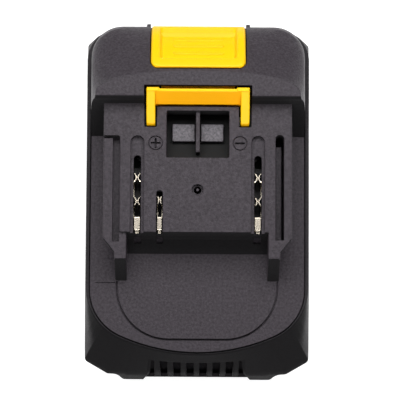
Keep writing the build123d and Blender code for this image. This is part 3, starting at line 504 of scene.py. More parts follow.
def mirrored_pair(shape):
    """A bmesh and its mirror image on the other side of the middle plane."""
    other = shape.copy()
    bmesh.ops.scale(other, vec=(-1, 1, 1), verts=other.verts)
    bmesh.ops.reverse_faces(other, faces=other.faces)
    return [shape, other]


def evaluated(piece):
    """Swaps a piece's modifiers for the mesh that they make."""
    graph = bpy.context.evaluated_depsgraph_get()
    mesh = bpy.data.meshes.new_from_object(piece.evaluated_get(graph))
    piece.modifiers.clear()
    piece.data = mesh
    return piece


def combine(piece, shapes, operation):
    """Joins shapes to a piece or cuts them out of it, one after another."""
    helpers = [as_object(shape) for shape in shapes]
    for helper in helpers:
        step = piece.modifiers.new("Step", "BOOLEAN")
        step.object = helper
        step.operation = operation
        step.solver = "MANIFOLD"
    evaluated(piece)
    for helper in helpers:
        bpy.data.objects.remove(helper)
    return piece


def smoothed(piece, name, angle):
    """Names a piece and its mesh, and shades it smooth up to an angle in degrees."""
    piece.name = name
    piece.data.name = name
    piece.data.shade_smooth()
    piece.data.set_sharp_from_angle(angle=math.radians(angle))
    return piece


def finished(piece, name, material, smooth=20.0):
    """Cleans a piece's mesh, brings it from millimetres to metres and gives it its name and material."""
    shape = bmesh.new()
    shape.from_mesh(piece.data)
    bmesh.ops.remove_doubles(shape, verts=shape.verts, dist=CLEAN_DISTANCE)
    bmesh.ops.dissolve_degenerate(shape, dist=CLEAN_DISTANCE, edges=shape.edges)
    bmesh.ops.scale(shape, vec=(MM, MM, MM), verts=shape.verts)
    bmesh.ops.triangulate(shape, faces=[face for face in shape.faces if len(face.verts) > 4])
    piece.data = as_mesh(shape, name)
    piece.data.materials.append(material)
    smoothed(piece, name, smooth).modifiers.new("Weighted normals", "WEIGHTED_NORMAL").keep_sharp = True
    return evaluated(piece)


def four_point_share(heights, values, height):
    """The smooth curve through four values at four heights, read at one height."""
    total = 0.0
    for index, value in enumerate(values):
        weight = value
        for other, place in enumerate(heights):
            if other != index:
                weight *= (height - place) / (heights[index] - place)
        total += weight
    return total


def smooth_share(value, low, high):
    """A share from nought to one that starts and ends softly."""
    share = min(max((value - low) / (high - low), 0.0), 1.0)
    return share * share * (3 - 2 * share)


def shoulder_points(inset, steps=10):
    """The shoulder plate's outline: square sides, rounded front corners and a long rounded rear."""
    corner = REAR_CORNER - inset
    centre_x = SHOULDER_HALF - REAR_CORNER
    drop = math.sqrt((REAR_ARC - REAR_CORNER) ** 2 - centre_x**2)
    arc_y = SHOULDER_REAR + REAR_ARC
    corner_y = arc_y - drop
    turn = math.atan2(drop, centre_x)
    turns = [turn * (1 - step / steps) for step in range(steps + 1)]
    right = [(centre_x + corner * math.cos(angle), corner_y - corner * math.sin(angle)) for angle in turns]
    tilts = [(math.pi / 2 - turn) * (step / steps - 1) for step in range(1, 2 * steps)]
    reach = REAR_ARC - inset
    rear = [(reach * math.sin(angle), arc_y - reach * math.cos(angle)) for angle in tilts]
    right += corner_arc(SHOULDER_HALF - inset, SHOULDER_FRONT - inset, FRONT_CORNER - inset, steps)
    return rear + both_sides(right)


def hood_ring(height, inset=0.0, steps=12):
    """One level outline of the hood, square in front at its foot and arched at its top."""
    share = (height - SHOULDER) / (HOOD - SHOULDER)
    front = HALF_LENGTH - 0.65 - 18.2 * four_point_share(SLOPE_PLACES, SLOPE_SHARES, share) - inset
    side = SHOULDER_HALF - 0.3 - 2.0 * four_point_share(SLOPE_PLACES, (0.0, 0.05, 0.3, 1.0), share) - inset
    rear = hood_rear(height) + inset
    radius = min(10.2 - inset, 0.8 * (front - rear))
    bend = smooth_share(share, 0.35, 1.0)
    square = corner_arc(side, front, radius, steps)
    square += [((side - radius) * (1 - step / steps), front) for step in range(1, steps + 1)]
    corner = []
    for index, (x, y) in enumerate(square):
        angle = math.pi / 2 * index / (2 * steps)
        arch_x = side * math.cos(angle) ** HOOD_ARCH
        arch_y = rear + 0.2 + (front - rear - 0.2) * math.sin(angle) ** HOOD_ARCH
        corner.append((x + (arch_x - x) * bend, y + (arch_y - y) * bend))
    return [(-side, rear), (side, rear), *corner, *[(-x, y) for x, y in corner[-2::-1]]]


def hood_rear(height):
    """Where the hood's rear face stands at a height: a long slope, then a rounded top edge."""
    if height <= HOOD_ROUND_FOOT:
        return four_point_share((44.0, 51.0, 58.0, HOOD_ROUND_FOOT), (20.4, 25.2, 28.9, HOOD_BACK), height)
    rise = (height - HOOD_ROUND_FOOT) / HOOD_ROUND
    return HOOD_BACK + HOOD_ROUND * (1 - math.sqrt(max(0.0, 1 - rise**2)))


def hood_solid():
    """The hood from the shoulder plate up to its flat top."""
    heights = [SHOULDER + 2.0 * step for step in range(9)] + [61.2, HOOD_ROUND_FOOT]
    heights += [HOOD_ROUND_FOOT + HOOD_ROUND * up for across, up in quarter(6)]
    return solid([(hood_ring(SHOULDER), PLATE_FOOT)] + [(hood_ring(height), height) for height in heights])


def hood_hollow():
    """The room inside the hood."""
    rings = [(hood_ring(SHOULDER, WALL), PLATE_FOOT - OVERRUN)]
    for step in range(9):
        outer = SHOULDER + (HOOD_ROUND_FOOT - SHOULDER) * step / 8
        rings.append((hood_ring(outer, WALL), SHOULDER + (HOOD - WALL - SHOULDER) * step / 8))
    return solid(rings)


def u_groove_points(half, radius, start_y, rear_y, width):
    """A narrow U-shaped band, open towards the deck."""
    lines = []
    for grow in (-width / 2, width / 2):
        side = half + grow
        reach = radius + grow
        rear = rear_y - grow
        right = arc_points((side - reach, rear + reach), (side, rear + reach), (side - reach, rear), 14)
        lines.append([(side, start_y), *both_sides(right), (-side, start_y)])
    return lines[0] + lines[1][::-1]


def upper_solids():
    """The forms that make up the upper case."""
    deck = outline([
        (-25.3, DECK_REAR, 0.6), (23.0, DECK_REAR, 0.3), (23.0, -22.0, 0.6), (26.8, -22.0, 0.6),
        (26.8, -19.9, 0.8), (30.6, -15.2, 1.0), (30.6, 31.5), (-30.6, 31.5),
        (-30.6, 18.1, 0.3), (-25.3, 18.1, 0.8),
    ])
    left_top = DECK - LEFT_DROP
    left_rail = outline([
        (-30.58, 19.5), (-30.58, -15.2, 1.0), (-26.8, -19.9, 0.8), (-26.8, -22.0, 0.6),
        (-23.0, -22.0, 0.6), (-23.0, -12.6), (-24.8, -12.6), (-24.8, 19.5),
    ])
    ramp = outline([
        (-18.7, PLATE_FOOT), (-11.9, PLATE_FOOT), (-11.9, 48.6), (-13.3, 48.6, 0.2),
        (-14.2, 46.5, 0.5), (-18.7, SHOULDER),
    ])
    shapes = [
        hood_solid(),
        raised(deck, PLATE_FOOT, DECK, top=EDGE),
        raised(left_rail, PLATE_FOOT, left_top, top=EDGE),
        raised(ramp, -23.2, 23.2, axis="X"),
    ]
    for side, top in ((1, DECK), (-1, left_top)):
        leg = [
            (-28.0, PLATE_FOOT + 0.1), (-21.3, PLATE_FOOT + 0.1), (-21.3, top - EDGE), (-22.0, top - EDGE),
            (-27.6, SHOULDER), (-28.0, SHOULDER - 0.95),
        ]
        low, high = sorted((side * 23.02, side * 26.78))
        shapes.append(raised(leg, low, high, top=0.3, foot=0.3, axis="X"))
    return shapes


def upper_cuts():
    """The hollows, rail channels and undercuts of the upper case."""
    undercut = outline([
        (26.8, -18.3), (26.8, -25.0), (33.0, -25.0), (33.0, 18.1), (29.0, 18.1), (29.0, -15.2),
    ])
    right_channel = outline([
        (25.3, -15.7, 0.3), (28.0, -15.7, 0.3), (28.0, 18.6, 1.3), (25.3, 18.6, 1.3),
    ])
    left_channel = outline([
        (-27.6, -16.3, 0.3), (-25.28, -16.3, 0.3), (-25.28, 18.12, 0.8), (-27.6, 18.12, 0.8),
    ])
    return mirrored_pair(raised(undercut, SHOULDER, DECK - 3.0)) + [
        hood_hollow(),
        box((-23.1, -11.2, 39.8), (23.1, 34.8, 55.8)),
        box((-23.1, -11.2, 39.7), (23.1, 39.0, BOARD_TOP)),
        box((-28.4, 20.3, SHOULDER), (28.4, 31.3, 55.8)),
        box((-14.3, 51.3, 39.8), (14.3, 53.5, BOARD_TOP)),
        mouth(right_channel, 44.2, DECK),
        raised(rectangle(-31.0, 17.5, -25.3, 18.08), DECK - 2.4, 60.0),
        raised(left_channel, DECK - 3.6, 60.0),
    ]


def deck_cuts():
    """The port window, the slots over the contacts, the marks and fine lines, and the latch's openings."""
    top = DECK + OVERRUN
    marks = DECK - 0.5
    cuts = [mouth(rectangle(-10.2, 11.2, 10.2, 26.5, 0.5), 45.0, DECK, lip=0.25)]
    for x in (POWER_X, -POWER_X):
        cuts.append(mouth(slot_points(x, 4.4, 18.3), DECK - 1.5, DECK, lip=0.15))
        cuts.append(mouth(slot_points(x, 2.4, 12.0), 45.6, DECK - 1.5, lip=0.15))
    cuts.append(mouth(slot_points(SIGNAL_X, 2.1, 0.3), 45.6, DECK, lip=0.25))
    for x in (MARK_X, -MARK_X):
        cuts.append(ring_cutter(x, 15.9, 2.4, 2.05, marks, top))
        cuts.append(mouth(rectangle(x - 1.6, 15.62, x + 1.6, 16.18), DECK - 0.95, DECK, lip=0.06))
    cuts += [
        mouth(rectangle(-14.0, 14.3, -13.4, 17.5), DECK - 1.7, DECK, lip=0.06),
        ring_cutter(0.0, 0.6, 1.9, 0.45, DECK - 1.2, top),
        ring_cutter(0.0, 0.6, 1.2, 0.5, DECK - 2.6, top),
        mouth(u_groove_points(26.3, 17.0, -27.8, -46.9, 0.6), SHOULDER - 0.95, SHOULDER, lip=0.15),
        mouth(rectangle(-33.4, -28.45, -26.9, -28.2), SHOULDER - 0.3, SHOULDER, lip=0.08),
        box((-17.5, 27.9, 47.9), (17.5, 34.0, HOOD + OVERRUN)),
        *mirrored_pair(raised(rectangle(13.35, 21.2, 17.45, 29.0, 0.4), 46.8, HOOD + OVERRUN)),
        raised(rectangle(-15.75, 39.45, 15.75, 64.0, 2.9), BOARD_TOP, HOOD + OVERRUN),
    ]
    return cuts


def small_additions():
    """The window's rib, a channel's ledge, the button's ears, the slots' covers and the screw posts."""
    ear = outline([(52.5, 46.0), (57.3, 46.0), (57.3, 48.6, 0.4), (54.6, 51.5, 0.4), (52.5, 51.5)])
    cover_front = DECK_REAR + 0.07
    return [
        raised(rectangle(-0.68, 13.0, 0.68, 26.7), 50.0, 56.9, top=0.3),
        box((25.2, -15.9, 50.0), (27.2, 15.4, DECK - 4.2)),
        *mirrored_pair(raised(ear, 15.75, 17.05, top=0.25, foot=0.1, axis="X")),
        *[box((x - 1.4, DECK_REAR, 46.0), (x + 1.4, cover_front, 51.6)) for x in CONTACT_PLACES],
        *screw_posts(10.2, 42.9, 2.1),
    ]


def make_upper_shell(material):
    """The upper case as one moulding with rounded edges."""
    piece = as_object(raised(shoulder_points(FIT_GAP), PLATE_FOOT, SHOULDER, top=0.35))
    combine(piece, upper_solids(), "UNION")
    combine(piece, upper_cuts(), "DIFFERENCE")
    combine(piece, [box((-11.4, 10.0, 49.0), (11.4, 27.7, 56.4))], "UNION")
    combine(piece, deck_cuts(), "DIFFERENCE")
    combine(piece, small_additions(), "UNION")
    combine(piece, screw_posts(8.0, 19.9, 1.2), "DIFFERENCE")
    return finished(piece, "Upper_Shell", material)


def slope_point(height, shift):
    """A point of the hood's front slope at a height, moved straight off the slope by a shift."""
    diagonal = shift * math.sqrt(0.5)
    share = (height - diagonal - SHOULDER) / (HOOD - SHOULDER)
    run = 17.8 * four_point_share(SLOPE_PLACES, SLOPE_SHARES, share)
    return HALF_LENGTH - 1.1 - run + diagonal


def slope_profile(shift, rear_y, foot, step=0.35):
    """Points along the slope, evenly spaced, from a rear edge down to a foot height."""
    height = HOOD + 3.0
    while slope_point(height, shift) < rear_y:
        height -= SEARCH_STEP
    points = [Vector((slope_point(height, shift), height))]
    while height > foot:
        height -= SEARCH_STEP
        point = Vector((slope_point(height, shift), height))
        if (point - points[-1]).length >= step:
            points.append(point)
    points[-1] = Vector((slope_point(foot, shift), foot))
    return points


def rounded_box_distance(x, y, half_x, half_y, radius):
    """How far a point is outside a rounded rectangle round the origin; negative inside it."""
    out_x = abs(x) - half_x + radius
    out_y = abs(y) - half_y + radius
    outside = math.hypot(max(out_x, 0.0), max(out_y, 0.0))
    return outside + min(max(out_x, out_y), 0.0) - radius


def button_height(x, along, scoop):
    """How far the button's face lies off its plain surface: rounded rim and hollowed scoop."""
    edge = min(BUTTON_HALF - abs(x), along)
    if abs(x) > BUTTON_HALF - BUTTON_CORNER and along < BUTTON_CORNER:
        side = max(abs(x) - BUTTON_HALF + BUTTON_CORNER, 0.0)
        edge = BUTTON_CORNER - math.hypot(side, max(BUTTON_CORNER - along, 0.0))
    edge = max(edge, 0.0)
    height = 0.0
    if edge < BUTTON_EDGE:
        height -= BUTTON_EDGE - math.sqrt(BUTTON_EDGE**2 - (BUTTON_EDGE - edge) ** 2)
    middle = (scoop[0] + scoop[1]) / 2
    inside = -rounded_box_distance(x, along - middle, SCOOP_HALF, (scoop[1] - scoop[0]) / 2, SCOOP_CORNER)
    return height - SCOOP_DEPTH * smooth_share(inside, 0.0, SCOOP_SIDE)


def button_skin():
    """The thumb button's outer form, a rounded slab with a hollowed face and upright sides."""
    profile = slope_profile(0.9, BUTTON_REAR, BUTTON_FOOT + 0.2)
    steps = [0.0]
    for before, after in zip(profile, profile[1:]):
        steps.append(steps[-1] + (after - before).length)
    scoop = [min(zip(profile, steps), key=lambda pair: abs(pair[0].x - y))[1] for y in SCOOP_ENDS]
    shape = bmesh.new()
    rows = []
    for index, (point, along) in enumerate(zip(profile, steps)):
        direction = (profile[min(index + 1, len(profile) - 1)] - profile[max(index - 1, 0)]).normalized()
        row = []
        for column in range(BUTTON_COLUMNS + 1):
            x = BUTTON_HALF * (2 * column / BUTTON_COLUMNS - 1)
            across = max(abs(x) - BUTTON_HALF + BUTTON_CORNER, 0.0) / BUTTON_CORNER
            deep = max(BUTTON_CORNER - along, 0.0) / BUTTON_CORNER
            place = point
            here = along
            if across > 0 and deep > 0:
                reach = BUTTON_CORNER * across * math.sqrt(1 - deep**2 / 2)
                x = math.copysign(BUTTON_HALF - BUTTON_CORNER + reach, x)
                here = BUTTON_CORNER - BUTTON_CORNER * deep * math.sqrt(1 - across**2 / 2)
                share = here / steps[CORNER_ROWS] * CORNER_ROWS
                low = min(int(share), len(profile) - 2)
                place = profile[low].lerp(profile[low + 1], share - low)
            off = button_height(x, here, scoop)
            y = max(place.x - direction.y * off, BUTTON_REAR)
            row.append(shape.verts.new((x, y, place.y + direction.x * off)))
        rows.append(row)
    for near, far in zip(rows, rows[1:]):
        for column in range(BUTTON_COLUMNS):
            shape.faces.new((near[column], near[column + 1], far[column + 1], far[column]))
    border = [row[0] for row in rows[::-1]] + rows[0][1:] + [row[-1] for row in rows[1:]] + rows[-1][-2:0:-1]
    foot = [shape.verts.new((vert.co.x, vert.co.y, BUTTON_FOOT)) for vert in border]
    join_loops(shape, [border, foot])
    shape.faces.new(foot)
    return shape


def latch_parts():
    """The latch's web, cross bar, hook arms, pads, ribs, guide and spring pins."""
    bar = outline([
        (33.3, 63.8, 0.4), (32.0, 63.8, 0.45), (28.7, 57.6, 0.5), (28.7, 54.5, 0.3), (33.3, 54.5, 0.3),
    ])
    arm = outline([
        (33.28, 63.78), (32.0, 63.78, 0.3), (ARM_END, 57.0, 0.6), (ARM_END, 53.4, 0.5), (33.28, 54.52),
    ])
    shapes = [
        raised(bar, -16.6, 16.6, top=0.35, foot=0.35, axis="X"),
        raised(rectangle(-12.0, 32.0, 12.0, 41.2), 55.6, 58.6, top=0.4),
        raised(rectangle(-14.0, 51.6, 14.0, 53.2, 0.3), 44.6, 54.6),
    ]
    for shape in (
        raised(arm, 13.9, 16.75, top=0.35, foot=0.35, axis="X"),
        raised(rectangle(12.7, 31.95, 16.6, 33.25, 0.35), 61.6, 64.1, top=0.3),
        raised(rectangle(8.0, 35.0, 11.0, 38.5, 0.3), 55.7, 61.5, top=0.3),
        post(*SPRING_PLACE, 54.0, 56.9, 1.5),
    ):
        shapes += mirrored_pair(shape)
    return shapes


def make_latch_moulding(material):
    """Button, web, cross bar and hooks as one rounded moulding."""
    piece = as_object(button_skin())
    foot = BUTTON_FOOT - OVERRUN
    hollow = [point for point in slope_profile(-1.2 - SCOOP_DEPTH, 42.2, foot, 0.8) if point.x < 55.1]
    room = [(42.2, foot), *[tuple(point) for point in hollow], (55.1, foot)]
    combine(piece, [raised(room[::-1], -13.0, 13.0, axis="X")], "DIFFERENCE")
    combine(piece, mirrored_pair(post(*SPRING_PLACE, 42.0, 56.5, 2.85)), "DIFFERENCE")
    combine(piece, latch_parts(), "UNION")
    combine(piece, [raised(rectangle(-12.6, 32.8, 12.6, 34.0, 0.3), 60.4, 66.0)], "DIFFERENCE")
    return finished(piece, "Latch_Moulding", material)


def ray_reach(points, angle):
    """How far an outline reaches from the origin in one direction."""
    direction = Vector((math.cos(angle), math.sin(angle)))
    best = 0.0
    for index, end in enumerate(points):
        start = Vector(points[index - 1])
        side = Vector(end) - start
        cross = direction.x * side.y - direction.y * side.x
        if abs(cross) < 1e-9:
            continue
        reach = (start.x * side.y - start.y * side.x) / cross
        share = (start.x * direction.y - start.y * direction.x) / cross
        if -1e-6 <= share <= 1 + 1e-6:
            best = max(best, reach)
    return best


def all_round(outlines, count=72):
    """The directions of every corner of some outlines, and enough between them."""
    angles = {round(2 * math.pi * step / count - math.pi, 4) for step in range(count)}
    for points in outlines:
        angles |= {round(math.atan2(y, x), 4) for x, y in points}
    kept = []
    for angle in sorted(angles):
        if not kept or angle - kept[-1] > CLOSEST_ANGLE:
            kept.append(angle)
    return kept


def as_ring(points, angles):
    """An outline read in the given directions."""
    reaches = [ray_reach(points, angle) for angle in angles]
    return [(reach * math.cos(angle), reach * math.sin(angle)) for reach, angle in zip(reaches, angles)]


def blended(first, second, share):
    """The ring part of the way from one ring to another."""
    return [(a[0] + (b[0] - a[0]) * share, a[1] + (b[1] - a[1]) * share) for a, b in zip(first, second)]


def shrunk(ring, distance):
    """A ring drawn in towards the middle by a distance."""
    return [tuple(Vector(point) * (1 - distance / max(Vector(point).length, 1.0))) for point in ring]


def base_points():
    """The lower case's outline at the table."""
    right = [(25.2, -57.1, 1.6), (36.5, -47.1, 1.6), (36.5, 53.9, 1.0), (33.1, 57.1, 1.0)]
    return outline(both_sides(right), 4)


def belt_points():
    """The lower case's widest outline: flat corners, and a middle panel that stands out at the rear."""
    return outline(both_sides([
        (17.9, -57.48, 2.0), (23.4, -57.4, 0.8), (24.5, -57.0, 0.8), (29.9, -57.0, 1.4), (37.48, -52.8, 1.6),
        (37.48, 54.3, 1.0), (34.1, 57.48, 1.0),
    ]), 4)


def rim_points():
    """The rim round the upper case: rounded corners in front, the long rear curve behind."""
    right = []
    for wide, slim in zip(shoulder_points(-1.3), shoulder_points(-0.5)):
        if wide[1] < 40.0 and wide[0] > 0.0:
            right.append(tuple(Vector(wide).lerp(Vector(slim), smooth_share(-wide[1], 20.0, 45.0))))
    for step in range(11):
        angle = math.pi / 2 * step / 10
        right.append((25.0 + 11.8 * math.cos(angle), 46.2 + 10.7 * math.sin(angle)))
    return sorted(both_sides(right), key=lambda point: math.atan2(point[1], point[0]))


def lower_outer():
    """The lower case's outer form, from the rounded base edge over the belt to the rim."""
    outlines = [base_points(), belt_points(), rim_points()]
    angles = all_round(outlines)
    base, belt, rim = [as_ring(points, angles) for points in outlines]

    def wall(height, inset=0.0):
        """The wall's ring at a height."""
        if height < BELT:
            ring = blended(base, belt, height / BELT)
        else:
            ring = blended(belt, rim, (height - BELT) / (SHOULDER - BELT))
        return shrunk(ring, inset) if inset else ring, height

    rings = [wall(BASE_ROUND * (1 - up), BASE_ROUND * across) for across, up in quarter(4)[::-1]]
    rings += [wall(height) for height in (BASE_ROUND, 8.0, 16.0, BELT - BELT_ROUND)]
    start = rings[-1][0]
    end = wall(BELT + BELT_ROUND)[0]
    for share in (0.25, 0.5, 0.75):
        here = blended(blended(start, belt, share), blended(belt, end, share), share)
        rings.append((here, BELT + BELT_ROUND * (2 * share - 1)))
    rings += [wall(height) for height in (BELT + BELT_ROUND, 34.0, 39.0, SHOULDER - RIM_ROUND)]
    rings += [wall(SHOULDER - RIM_ROUND * (1 - up), RIM_ROUND * across) for across, up in quarter()]
    return solid(rings)


def lower_cuts():
    """The cell room, the seat of the shoulder plate, the vents' opening and the room round the screws."""
    right = [(29.2, -56.3, 1.6), (37.5, -51.7, 1.6), (37.5, 54.3, 1.0), (34.1, 57.5, 1.0)]
    belt = outline(both_sides(right), 4)
    outlines = [moved_in(base_points(), WALL), moved_in(belt, WALL), shoulder_points(1.5)]
    angles = all_round(outlines)
    heights = (WALL, BELT, PLATE_FOOT + 0.5)
    room = [(as_ring(points, angles), height) for points, height in zip(outlines, heights)]
    opening = [(-17.2, 3.0), (17.2, 3.0), (14.95, 35.6), (-14.95, 35.6)]
    return [
        solid(room),
        raised(shoulder_points(0.0), PLATE_FOOT, SHOULDER + OVERRUN),
        solid([(opening, -60.0), (opening, -49.9)], "Y"),
        *screw_posts(10.0, SHOULDER, 2.4),
    ]


def make_lower_shell(material):
    """The cup that holds the cells, as one moulding with rounded edges."""
    outer = lower_outer()
    recess = outer.copy()
    bmesh.ops.translate(recess, vec=(0, 0.9, 0), verts=recess.verts)
    piece = as_object(outer)
    top = SHOULDER - 6.0
    vents = [(-18.4, -2.0), (18.4, -2.0), (18.4, 0.0), (15.7, top), (-15.7, top), (-18.4, 0.0)]
    frame_cut = as_object(solid([(vents, -62.0), (vents, -47.0)], "Y"))
    combine(frame_cut, [recess], "DIFFERENCE")
    shape = bmesh.new()
    shape.from_mesh(frame_cut.data)
    bpy.data.objects.remove(frame_cut)
    combine(piece, [shape], "DIFFERENCE")
    combine(piece, lower_cuts(), "DIFFERENCE")
    combine(piece, screw_posts(1.1, 10.0, 2.1), "UNION")
    combine(piece, screw_posts(-OVERRUN, 12.0, 1.4) + screw_posts(-OVERRUN, 1.9, 2.3), "DIFFERENCE")
    return finished(piece, "Lower_Shell", material)


def geometry_tree(name, inputs):
    """An empty Geometry Nodes tree with its named inputs."""
    inputs = {"Geometry": "Geometry", **inputs, "Material": "Material"}
    return new_tree(name, "GeometryNodeTree", inputs, {"Geometry": "Geometry"})


def end_tree(tree, start, end, copies):
    """Puts copies of a shape on points, realizes them and gives them their material."""
    instances = add_node(tree, "GeometryNodeInstanceOnPoints", copies).outputs[0]
    real = add_node(tree, "GeometryNodeRealizeInstances", {"Geometry": instances}).outputs[0]
    done = add_node(tree, "GeometryNodeSetMaterial", {"Geometry": real, "Material": start["Material"]})
    set_inputs(tree, end, {"Geometry": done.outputs[0]})
    return tree


def row_tree():
    """Copies of a shape in a row along x."""
    tree, start, end = geometry_tree("Shape Row", {"Count": "Int", "Pitch": "Float"})
    last = math_node(tree, "SUBTRACT", start["Count"], 1.0)
    span = math_node(tree, "MULTIPLY", last, start["Pitch"])
    first = add_node(tree, "ShaderNodeCombineXYZ", {"X": math_node(tree, "MULTIPLY", span, -0.5)}).outputs[0]
    step = add_node(tree, "ShaderNodeCombineXYZ", {"X": start["Pitch"]}).outputs[0]
    line = {"Count": start["Count"], "Start Location": first, "Offset": step}
    points = add_node(tree, "GeometryNodeMeshLine", line).outputs[0]
    return end_tree(tree, start, end, {"Points": points, "Instance": start["Geometry"]})


def path_tree():
    """Copies of a shape along a path, each turned to follow it."""
    tree, start, end = geometry_tree("Shapes Along Path", {"Shape": "Object", "Count": "Int"})
    curve = add_node(tree, "GeometryNodeMeshToCurve", {"Mesh": start["Geometry"]}).outputs[0]
    spaced = add_node(tree, "GeometryNodeResampleCurve", {"Curve": curve, "Count": start["Count"]}).outputs[0]
    tangent = add_node(tree, "GeometryNodeInputTangent").outputs[0]
    turn = add_node(tree, "FunctionNodeAlignRotationToVector", {"Vector": tangent}, axis="Y").outputs[0]
    shape = add_node(tree, "GeometryNodeObjectInfo", {"Object": start["Shape"]}).outputs["Geometry"]
    return end_tree(tree, start, end, {"Points": spaced, "Instance": shape, "Rotation": turn})


def places_tree():
    """Copies of a shape at given places, such as screws."""
    tree, start, end = geometry_tree("Shapes At Places", {"Shape": "Object"})
    shape = add_node(tree, "GeometryNodeObjectInfo", {"Object": start["Shape"]}).outputs["Geometry"]
    points = add_node(tree, "GeometryNodeMeshToPoints", {"Mesh": start["Geometry"]}).outputs[0]
    return end_tree(tree, start, end, {"Points": points, "Instance": shape})


def grown(piece, maker, values, name):
    """The plain mesh that a Geometry Nodes tree grows from a piece with these values."""
    modifier = piece.modifiers.new("Copies", "NODES")
    modifier.node_group = shared(maker)
    for item in modifier.node_group.interface.items_tree:
        if item.in_out == "INPUT" and item.name in values:
            modifier[item.identifier] = values[item.name]
    return smoothed(evaluated(piece), name, 25.0)


def make_copies(name, places, shape, flip, material):
    """Equal copies of a shape in millimetres at their places, turned upside down where flipped."""
    turned = bmesh.new()
    turned.from_mesh(shape.data)
    bpy.data.objects.remove(shape)
    if flip:
        bmesh.ops.rotate(turned, matrix=Matrix.Rotation(math.pi, 3, "X"), verts=turned.verts)
    source = in_metres(turned)
    points = bmesh.new()
    for place in places:
        points.verts.new(place)
    copies = grown(in_metres(points), places_tree, {"Shape": source, "Material": material}, name)
    bpy.data.objects.remove(source)
    return copies


def make_vent_ribs(material):
    """The seven upright ribs between the rear vents, which follow the rear wall."""
    outer = [(-56.0, 2.6), (-56.45, 27.0), (-55.9, 29.0), (-52.9, 36.2)]
    inner = [(-50.6, 36.2), (-53.9, 27.0), (-53.7, 2.6)]
    rib = in_metres(raised(outer + inner, -0.93, 0.93, top=0.3, foot=0.3, axis="X"))
    return grown(rib, row_tree, {"Count": 7, "Pitch": 4.37 * MM, "Material": material}, "Vent_Ribs")


def make_scoop_ridges(material):
    """The three faint grip ridges on the floor of the thumb button's scoop."""
    places = [point for point in slope_profile(-1.2, 43.0, 54.0, 0.3) if 45.1 <= point.x <= 50.5]
    path = bmesh.new()
    verts = [path.verts.new((0.0, point.x, point.y)) for point in places]
    for near, far in zip(verts, verts[1:]):
        path.edges.new((near, far))
    bar = in_metres(raised(rectangle(-8.4, -0.75, 8.4, 0.75, 0.74), -0.45, 0.45, top=0.44))
    values = {"Shape": bar, "Count": 3, "Material": material}
    ridges = grown(in_metres(path), path_tree, values, "Scoop_Ridges")
    bpy.data.objects.remove(bar)
    return ridges


def screw_shape(head, height, shaft, length, cross):
    """A pan-head screw with a cross recess, its head up and the seat of its head at nought."""
    rings = [(circle(0.0, 0.0, radius, 28), level) for radius, level in (
        (0.15, -length), (shaft * 0.8, -length + shaft * 1.4), (shaft, -length + shaft * 2), (shaft, 0.0),
        (head * 0.96, 0.0), (head, 0.12), (head, height * 0.35), (head * 0.93, height * 0.7),
        (head * 0.75, height * 0.92), (head * 0.5, height),
    )]
    reach = head * 0.66
    half = cross / 2
    cuts = []
    for x, y in ((reach, half), (half, reach)):
        wide = rectangle(-x, -y, x, y, half * 0.6)
        narrow = rectangle(-x * 0.6, -y * 0.8, x * 0.6, y * 0.8, half * 0.5)
        cuts.append(solid([(narrow, height * 0.25), (wide, height * 0.95), (wide, height + 1.0)]))
    return combine(as_object(solid(rings)), cuts, "DIFFERENCE")


def coil(radius, wire, low, high, turns, steps=20, sides=8):
    """A coil spring round the upright axis, as one closed tube."""
    shape = bmesh.new()
    rings = []
    count = turns * steps
    climb = (high - low - 2 * wire) / count
    rise = climb * steps / (2 * math.pi)
    for step in range(count + 1):
        angle = 2 * math.pi * step / steps
        outward = Vector((math.cos(angle), math.sin(angle), 0.0))
        along = Vector((-radius * math.sin(angle), radius * math.cos(angle), rise)).normalized()
        upward = outward.cross(along)
        middle = outward * radius + Vector((0.0, 0.0, low + wire + climb * step))
        section = circle(0.0, 0.0, 1.0, sides)
        rings.append([shape.verts.new(middle + wire * (a * outward + b * upward)) for a, b in section])
    return capped(shape, rings)


def make_springs(material):
    """The two latch springs at their pressed length, which keeps them clear of the button at every pose."""
    shape = as_object(coil(2.3, 0.35, SHOULDER, 50.3, 6))
    x, y = SPRING_PLACE
    return make_copies("Latch_Springs", [(x, y, 0.0), (-x, y, 0.0)], shape, False, material)


def leaf_run(y, pinches, spread):
    """How far a contact leaf stands from the middle, and how far its upper edge drops, at a place."""
    nearest = min(abs(y - pinch) for pinch in pinches)
    gap = 0.04 + spread * smooth_share(nearest, -0.5, 2.2) * min(1.0, nearest / 1.5)
    return min(gap, spread), 7.0 * smooth_share(nearest, 1.3, 2.2)


def make_contact(name, x, half, front, pinches, spread, material):
    """A spring contact: a folded base and two sprung leaves that close on a blade."""
    piece = as_object(raised(rectangle(x - half, -12.2, x + half, -7.9, 0.3), 48.2, 55.4, top=0.3))
    foot = raised(rectangle(x - half, -10.4, x + half, -7.9, 0.1), 44.65, 49.0)
    hollow = raised(rectangle(x - half + 0.35, -12.6, x + half - 0.35, -7.4), 48.6, 54.9)
    tab = raised(rectangle(x - 0.6 * half, -13.3, x + 0.6 * half, -11.9, 0.2), 54.3, 55.1, top=0.2)
    combine(piece, [foot], "UNION")
    combine(piece, [hollow], "DIFFERENCE")
    combine(piece, [tab], "UNION")
    leaves = []
    count = int((front - LEAF_REAR) / LEAF_STEP)
    for side in (1, -1):
        rings = []
        for step in range(count + 1):
            y = LEAF_REAR + (front - LEAF_REAR) * step / count
            gap, drop = leaf_run(y, pinches, spread)
            top = 56.6 - drop
            section = [
                (gap, 48.5), (gap + 0.5, 48.5), (gap + 0.5, top - 0.12), (gap + 0.4, top), (gap + 0.1, top),
                (gap, top - 0.12),
            ]
            rings.append(([(x + side * a, b) for a, b in section], y))
        leaves.append(solid(rings, "Y"))
    combine(piece, leaves, "UNION")
    return finished(piece, name, material, 30.0)


